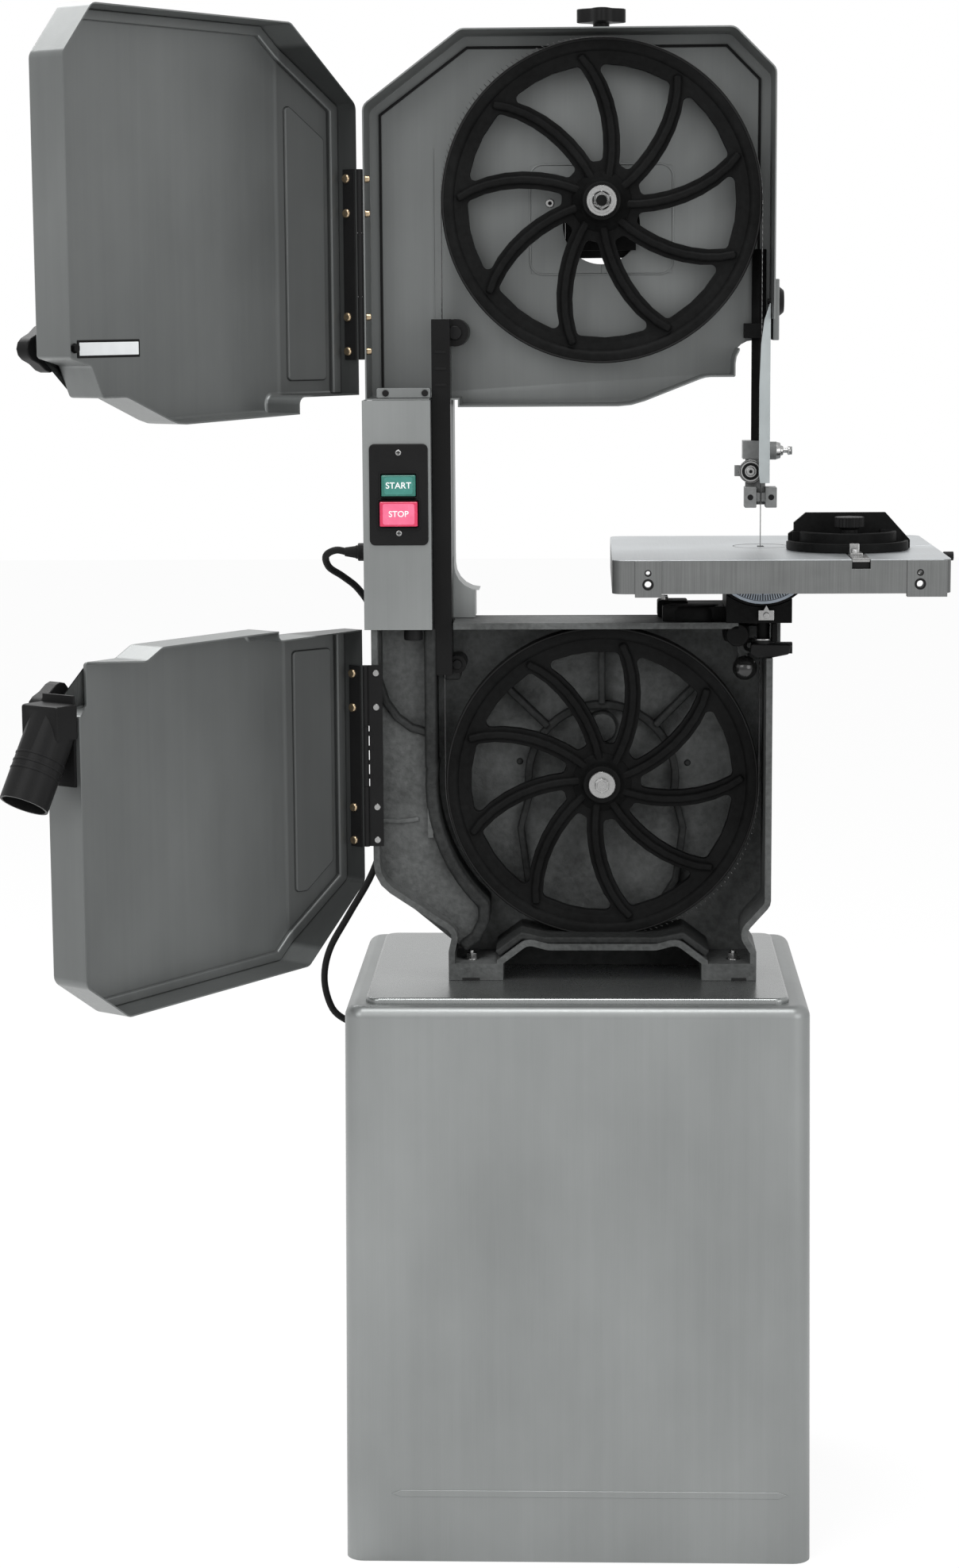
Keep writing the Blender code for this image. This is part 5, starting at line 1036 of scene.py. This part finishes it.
ZINC = ground(
    "zinc_pale_plated",
    "zinc_pale",
    (40, 40, 12),
    (0.27, 0.295, 0.3),
    (0.4, 0.43, 0.435),
    (150, 0.2, 0.28),
    0.75,
    4,
)
GUIDE_GREY = sand_cast(
    "guide_grey_blasted", "cast_grey", (0.1, 0.103, 0.102), (0.2, 0.204, 0.203), 0.5, 0.12, 0.4
)
softened("guide_post", CAST_BLACK, 0.6)
softened("guide_post_socket", CAST_BLACK, 0.8)
lock_plate = bmesh.new()
block(lock_plate, (188.4, 195.4), (7.4, 48.4), (1347.6, 1414.4), 1)
piece("guide_lock_plate", lock_plate, SHEET_GREY, "frame")
softened("guide_lock_knob", PLASTIC, 0.8)
softened("guide_carrier", GUIDE_GREY, 0.8)
softened("blade_guard", ZINC, 0.3)
for side in ("left", "right"):
    softened(f"guide_block_{side}", GUIDE_GREY, 0.9, 3)
sockets = bmesh.new()
for x in (164, 187):
    bar(sockets, (x, -9.5, 1176), (x, -10.3, 1176), 3.2, sides=24, soft=0.2)
piece("guide_block_sockets", sockets, PLASTIC, "guide_head")
bearing = bmesh.new()
middle = (165, 22, 1203.7)
turned(bearing, [(9.6, 15), (12.4, 15), (13, 14.4), (13, 7.6), (12.4, 7), (9.6, 7)], middle, sides=56)
turned(bearing, [(4.2, 15), (6.4, 15), (6.8, 14.5), (6.8, 7.4), (4.2, 7.4)], middle, sides=40)
piece("thrust_bearing_rings", bearing, STEEL, "guide_bearing", ["thrust_bearing"])
shield = bmesh.new()
turned(shield, [(9.7, 14.2), (6.6, 14.2), (6.6, 8), (9.7, 8)], middle, sides=56)
turned(shield, [(12.0, 15.2), (11.2, 15.2), (11.2, 14.8), (12.0, 14.8)], middle, sides=56)
piece("thrust_bearing_shield", shield, PLASTIC, "guide_bearing")
thumb = bmesh.new()
bar(thumb, (165, 7.2, 1203.7), (165, 4.4, 1203.7), 5.2, 4.6, soft=0.6)
bar(thumb, (193, 20, 1226), (198.5, 20, 1226), 10, 8.6, soft=1)
bar(thumb, (198, 20, 1226), (201.5, 20, 1226), 6, 5, soft=0.8)
bar(thumb, (186, 20, 1226), (208, 20, 1226), 2.6, soft=0.1)
bar(thumb, (206, 20, 1226), (209.5, 20, 1226), 4.8, soft=1)
piece("guide_screws", thumb, STEEL, "guide_head")
# A flat dark hexagon on the screw's head: painted shade for its socket.
socket_shade_mark = bmesh.new()
bar(socket_shade_mark, (165, 4.5, 1203.7), (165, 4.1, 1203.7), 2.1, sides=6, soft=0)
piece("guide_screw_socket_shade", socket_shade_mark, PLASTIC, "guide_head")


# Table
# Ground cast iron with a rounded rim, rail pads with drilled holes, a mitre slot and
# a round throat plate. A pin closes the blade's slot at the right edge.

IRON, wire, sockets = surface("iron_ground_satin", "iron_ground", metallic=1.0)
lines = wire.grain((700, 10, 700), 2)
sides = wire.grain((700, 700, 14), 2)
clouds = wire.grain((22, 22, 60), 5)
place = wire.node("ShaderNodeTexCoord", {}, {}, "Object")
height = wire.node("ShaderNodeSeparateXYZ", {}, {"Vector": place}, "Z")
# The sides are much darker and rougher than the top, with their own grain; part of that darkness is painted
# shade.
on_top = (height * 700 - 784.4).ramp(0.1, 0.6)
top_mix = lines * 0.35 + clouds.ramp(0.3, 0.7) * 0.65
top_shade = top_mix.blend((0.35, 0.367, 0.377), (0.44, 0.46, 0.472))
side_shade = (sides * 0.7 + clouds * 0.3).blend((0.085, 0.088, 0.087), (0.18, 0.184, 0.183))
feed(
    wire,
    sockets,
    Base_Color=on_top.blend(side_shade, top_shade),
    Roughness=lines * 0.12 + clouds * 0.12 + (1 - on_top) * 0.1 + 0.27,
    Normal=lines.bump(0.05, 0.0003),
)
TABLE_TOP = 1121.5


def pillar(shape, outline, low, high, soft, segments=2, angle=32):
    """A plate with this outline in XY, between two heights."""
    part = bmesh.new()
    face = part.faces.new([part.verts.new((x, y, low)) for x, y in outline])
    push(part, [face], (0, 0, high - low))
    add(shape, part, soft, segments, angle)


softened("table", IRON, 1.1, 3)
softened("table_insert", IRON, 0.3)
softened("table_pin", PLASTIC, 1.0, 3, 45)
# Dark marks on the table: the throat plate's joint line, and painted shade for the blade's slot and the
# drilled holes.
lines = bmesh.new()
pillar(lines, ribbon(arc(30.2, 0, 356, (BLADE_LINE, 0)), 0.4), TABLE_TOP, TABLE_TOP + 0.2, 0)
blade_slot = [(171.8, -10.6), (179.4, -10.6), (179.4, -6.9), (171.8, -6.9)]
pillar(lines, blade_slot, TABLE_TOP, TABLE_TOP + 0.25, 0)
for x in (47.9, 332.9):
    turned(lines, [(3.7, 0.2), (6, 0.2), (6, -0.3), (3.7, -0.3)], (x, -197, 1096.1), sides=32)
    turned(lines, [(2.4, 0.2), (3.6, 0.2), (3.6, -0.3), (2.4, -0.3)], (x, -197, 1108.1), sides=32)
piece("table_joint_and_hole_shade", lines, PLASTIC, "work_table")


# Trunnion and tilt lock
# Black cast rockers under the table slide in a saddle bolted to the base. A pale
# scale with a steel pointer shows the tilt, and a lever below clamps it.

softened("table_trunnion", CAST_BLACK, 0.8)
softened("trunnion_support", CAST_BLACK, 1.6, 3)
SCALE = even("scale_pale_blue", "zinc_pale", 80, (0.2, 0.235, 0.28), (0.3, 0.34, 0.39), 0.45)
TILT_AXIS = (BLADE_LINE, 1121.6)
softened("tilt_scale", SCALE, 0.3)
softened("tilt_lock_handle", PLASTIC, 1.6, 3)
marks = bmesh.new()
for degrees in range(-45, 46, 3):
    turn = math.radians(degrees)
    long = 8.5 if degrees % 15 == 0 else 6
    way = Vector((math.sin(turn), -math.cos(turn)))
    ends = [Vector(TILT_AXIS) + way * reach for reach in (55 - long, 55)]
    slab(marks, ribbon(ends, 0.6), -61.25, -60.9, 0)
slab(marks, ribbon(arc(55.6, 190, 350, TILT_AXIS), 0.3), -61.25, -60.9)
piece("tilt_scale_marks", marks, PLASTIC, "work_table")
for number, degrees in (("30", -30), ("15", -15), ("0", 0), ("15", 15), ("30", 30)):
    turn = math.radians(degrees)
    place = (TILT_AXIS[0] + 47 * math.sin(turn), -61.1, TILT_AXIS[1] - 47 * math.cos(turn))
    lettering(f"tilt_number_{degrees + 45}", number, 5.6, place, PLASTIC, "work_table", degrees)
pointer = bmesh.new()
arrow = [(171, 1045), (188, 1045), (188, 1056), (182.5, 1056), (179.5, 1061.5), (176.5, 1056), (171, 1056)]
slab(pointer, arrow, -63.4, -61.8, 0.4)
block(pointer, (173, 186), (-62, -57), (1046, 1052), 0.5)
bar(pointer, (179.5, -63.3, 1050.5), (179.5, -65, 1050.5), 3.6, 3.1, soft=0.6)
piece("tilt_pointer", pointer, STEEL, "frame")
saddle = bmesh.new()
dome = [(0, 17), (26, 17), (31, 15), (33, 11), (33, 3), (34, 0), (0, 0)]
turned(saddle, dome, (101, -8, 1041.5), (0, 0, 1), 64)
block(saddle, (62, 96), (0, 36), (1042, 1061), 2.5, segments=3)
bar(saddle, (149, -30, 1027), (149, -47, 1027), 13.5, 12.5, soft=2.5)
block(saddle, (135, 163), (-32, 20), (1018, 1036), 3, segments=3)
slab(saddle, rounded((187, 193), (1019, 1040), 2), -45, -20, 1)
piece("saddle_bosses", saddle, CAST_BLACK, "frame")
bolts = bmesh.new()
for y in (8, 28):
    bar(bolts, (70, y, 1061), (70, y, 1065), 4.6, sides=6, soft=0.6)
bar(bolts, (178, -30, 1022), (178, -30, 1020.6), 13, soft=0.3)
piece("saddle_bolts", bolts, STEEL, "frame")
lever = bmesh.new()
grip = [(163, 1006, 3), (171, 1001, 3), (186, 1001, 3), (206, 1005, 3), (209, 1016, 2), (164, 1017, 3)]
slab(lever, fillet(grip), -43, -31, 2.2, 3)
piece("tilt_lever_grip", lever, PLASTIC, "tilt_lock")


# Lower guides
# An iron holder under the saddle carries a small bearing behind the blade. A glossy
# black ball knob sets its place.

softened("lower_guide_carrier", CAST_GREY, 1.0)
softened("lower_thrust_bearing", CAST_BLACK, 0.4)
BALL = moulded("ball_black_gloss", "plastic_black", (0.004, 0.004, 0.004), (0.01, 0.01, 0.01), 0.2, 0.5, 400)
knob = bmesh.new()
ball = bmesh.new()
bmesh.ops.create_uvsphere(ball, u_segments=48, v_segments=32, radius=13.5)
bmesh.ops.translate(ball, vec=(158, -30, 989), verts=ball.verts)
add(knob, ball)
bar(knob, (158, -20, 989), (158, 9.7, 989), 4)
bar(knob, (158, -18.5, 989), (158, -15, 989), 8, 6.5, soft=0.8)
piece("lower_guide_ball", knob, BALL, "lower_guide_adjuster", ["lower_guide_knob"])


# Mitre gauge
# A steel bar slides in the table's slot and carries a black cast half-round head
# with a raised fence. A ribbed knob locks its angle, read at a small steel pointer.

track = bmesh.new()
block(track, (261.8, 280.6), (-168, 94.5), (1112.2, TABLE_TOP), 0.5)
block(track, (261.8, 280.6), (-192.5, -160), (1118.9, TABLE_TOP), 0.5)
piece("mitre_bar_ground", track, STEEL, "mitre_bar", ["mitre_bar"])
# A black block under the bar's thin front end: painted shade in the slot's open end.
track = bmesh.new()
block(track, (262.1, 280.3), (-191, -167), (1112.2, 1119.2), 0.3)
piece("mitre_slot_end_shade", track, PLASTIC, "mitre_bar")
softened("mitre_head", CAST_BLACK, 1.0, 3)
head_low = SAW.inverted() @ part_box("mitre_head")[0]
knob_low, knob_high = (SAW.inverted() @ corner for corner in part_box("mitre_knob"))
pivot = (knob_low + knob_high) / 2
ridge = bmesh.new()
disc = (pivot.x, head_low.y + 66)
pillar(ridge, ribbon(arc(63.5, 182, 358, disc, 5), 2.2), 1129, 1131.6, 0.9, 2)
pillar(ridge, ribbon(arc(50, 184, 356, disc, 5), 3), 1128, 1142, 1.6, 3)
pillar(ridge, arc(47, 180, 360, disc, 5), 1128, 1131.5, 1)
for outline, top in (([(-60, 2), (-52, 2), (-52, 9), (-60, 9)], 1141), ([(36, 2), (60, 9), (36, 9)], 1143)):
    pillar(ridge, [(disc[0] + x, disc[1] + y) for x, y in outline], 1129, top, 1)
piece("mitre_head_ribs", ridge, CAST_BLACK, "mitre_head")
ticks = bmesh.new()
for degrees in range(-60, 61, 5):
    turn = math.radians(270 + degrees)
    reach = 5 if degrees % 15 == 0 else 3
    way = Vector((math.cos(turn), math.sin(turn)))
    ends = [Vector(disc) + way * (58.5 - k) for k in (0, reach)]
    pillar(ticks, ribbon(ends, 0.3), 1129.6, 1130.1, 0)
piece("mitre_scale_marks", ticks, INK, "mitre_head")
knob = bmesh.new()
flutes = [(16 if k % 4 < 2 else 15, math.pi * k / 48) for k in range(96)]
rim = [(pivot.x + r * math.cos(t), pivot.y + r * math.sin(t)) for r, t in flutes]
pillar(knob, rim, knob_high.z - 11, knob_high.z, 0.5, 1, 60)
stem = [(4.4, 0), (9, 0), (9, 14), (12, 17.4), (4.4, 17.4)]
turned(knob, stem, (pivot.x, pivot.y, knob_low.z), (0, 0, 1), 40)
cap = [(0, 1.4), (6, 1.4), (10, 1.0), (11, 0), (0, 0)]
turned(knob, cap, (pivot.x, pivot.y, knob_high.z - 0.8), (0, 0, 1), 40)
piece("mitre_knob_ribbed", knob, PLASTIC, "mitre_lock", ["mitre_knob"])
pointer = bmesh.new()
block(pointer, (262, 280.4), (-192, -140), (1121.65, 1123.1), 0.5)
block(pointer, (263, 276), (-156, -130), (1122.8, 1125.4), 0.6)
block(pointer, (263.5, 274), (-137, -130), (1123, 1134), 1)
bar(pointer, (268.7, -147, 1125), (268.7, -147, 1129), 4.6, 4, sides=6, soft=0.7)
piece("mitre_pointer", pointer, STEEL, "mitre_bar")


# Motor lead
# A black rubber lead leaves a gland on the cover's left side, makes a small loop and
# goes down behind the saw into the stand, through a rubber bush.

route = [
    (-271.6, -6, 1117),
    (-282, -6, 1117),
    (-296, -4, 1119),
    (-308, 6, 1112),
    (-306, 22, 1098),
    (-292, 40, 1086),
    (-276, 58, 1070),
    (-262, 74, 1044),
    (-252, 84, 1000),
    (-246, 92, 930),
    (-244, 100, 850),
    (-250, 110, 790),
    (-268, 122, 732),
    (-298, 136, 678),
    (-322, 146, 634),
    (-329, 150, 596),
    (-320, 150, 562),
    (-302, 150, 547),
    (-290, 150, 545),
    (-279, 150, 545),
]
knots = [Vector(p) for p in route]
line = []
for i in range(len(knots) - 1):
    a, b = knots[max(i - 1, 0)], knots[i]
    c, d = knots[i + 1], knots[min(i + 2, len(knots) - 1)]
    for k in range(6):
        t = k / 6
        partial = 2 * b + (c - a) * t + (2 * a - 5 * b + 4 * c - d) * t**2
        line.append(0.5 * (partial + (3 * b - a - 3 * c + d) * t**3))
line.append(knots[-1])
line = [SAW @ point for point in line]
lead_curve = bpy.data.curves.new("motor_lead_rubber", "CURVE")
lead_curve.dimensions = "3D"
lead_curve.bevel_depth = 0.004
lead_curve.bevel_resolution = 6
lead_curve.use_fill_caps = True
spline = lead_curve.splines.new("POLY")
spline.points.add(len(line) - 1)
for point, place in zip(spline.points, line):
    point.co = (*place, 1)
lead_curve.materials.append(RUBBER)
lead = bpy.data.objects.new("motor_lead_rubber", lead_curve)
scene.collection.objects.link(lead)
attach(lead, "frame")
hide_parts("motor_lead")
length = sum((b - a).length for a, b in zip(line, line[1:]))
softened("lead_gland", PLASTIC, 1.8, 4)
relief = bmesh.new()
bar(relief, (-269, -6, 1117), (-274, -6, 1117), 7.6, soft=1)
bar(relief, (-273.5, -6, 1117), (-286, -5.8, 1117.3), 6.9, 4.9, soft=0.6)
piece("lead_relief", relief, RUBBER, "frame")
softened("stand_grommet", RUBBER, 0.8)


# Motor, pulleys and belt
# The motor sits on a shelf in the stand, and a belt drives the lower wheel's shaft
# through the slot in its top. A black sheet guard covers the upper pulley.

MOTOR_PAINT = moulded(
    "motor_paint_satin", "motor_paint", (0.03, 0.03, 0.033), (0.06, 0.06, 0.065), 0.5, 0.4, 300
)
softened("motor", MOTOR_PAINT, 1.5, 3)
softened("motor_pulley", CAST_BLACK, 0.6)
softened("driven_pulley", CAST_BLACK, 0.6)
softened("drive_belt", RUBBER, 0.6)
softened("lower_bearing", STEEL, 0.6)
softened("belt_guard", PLASTIC, 1.0, 3)
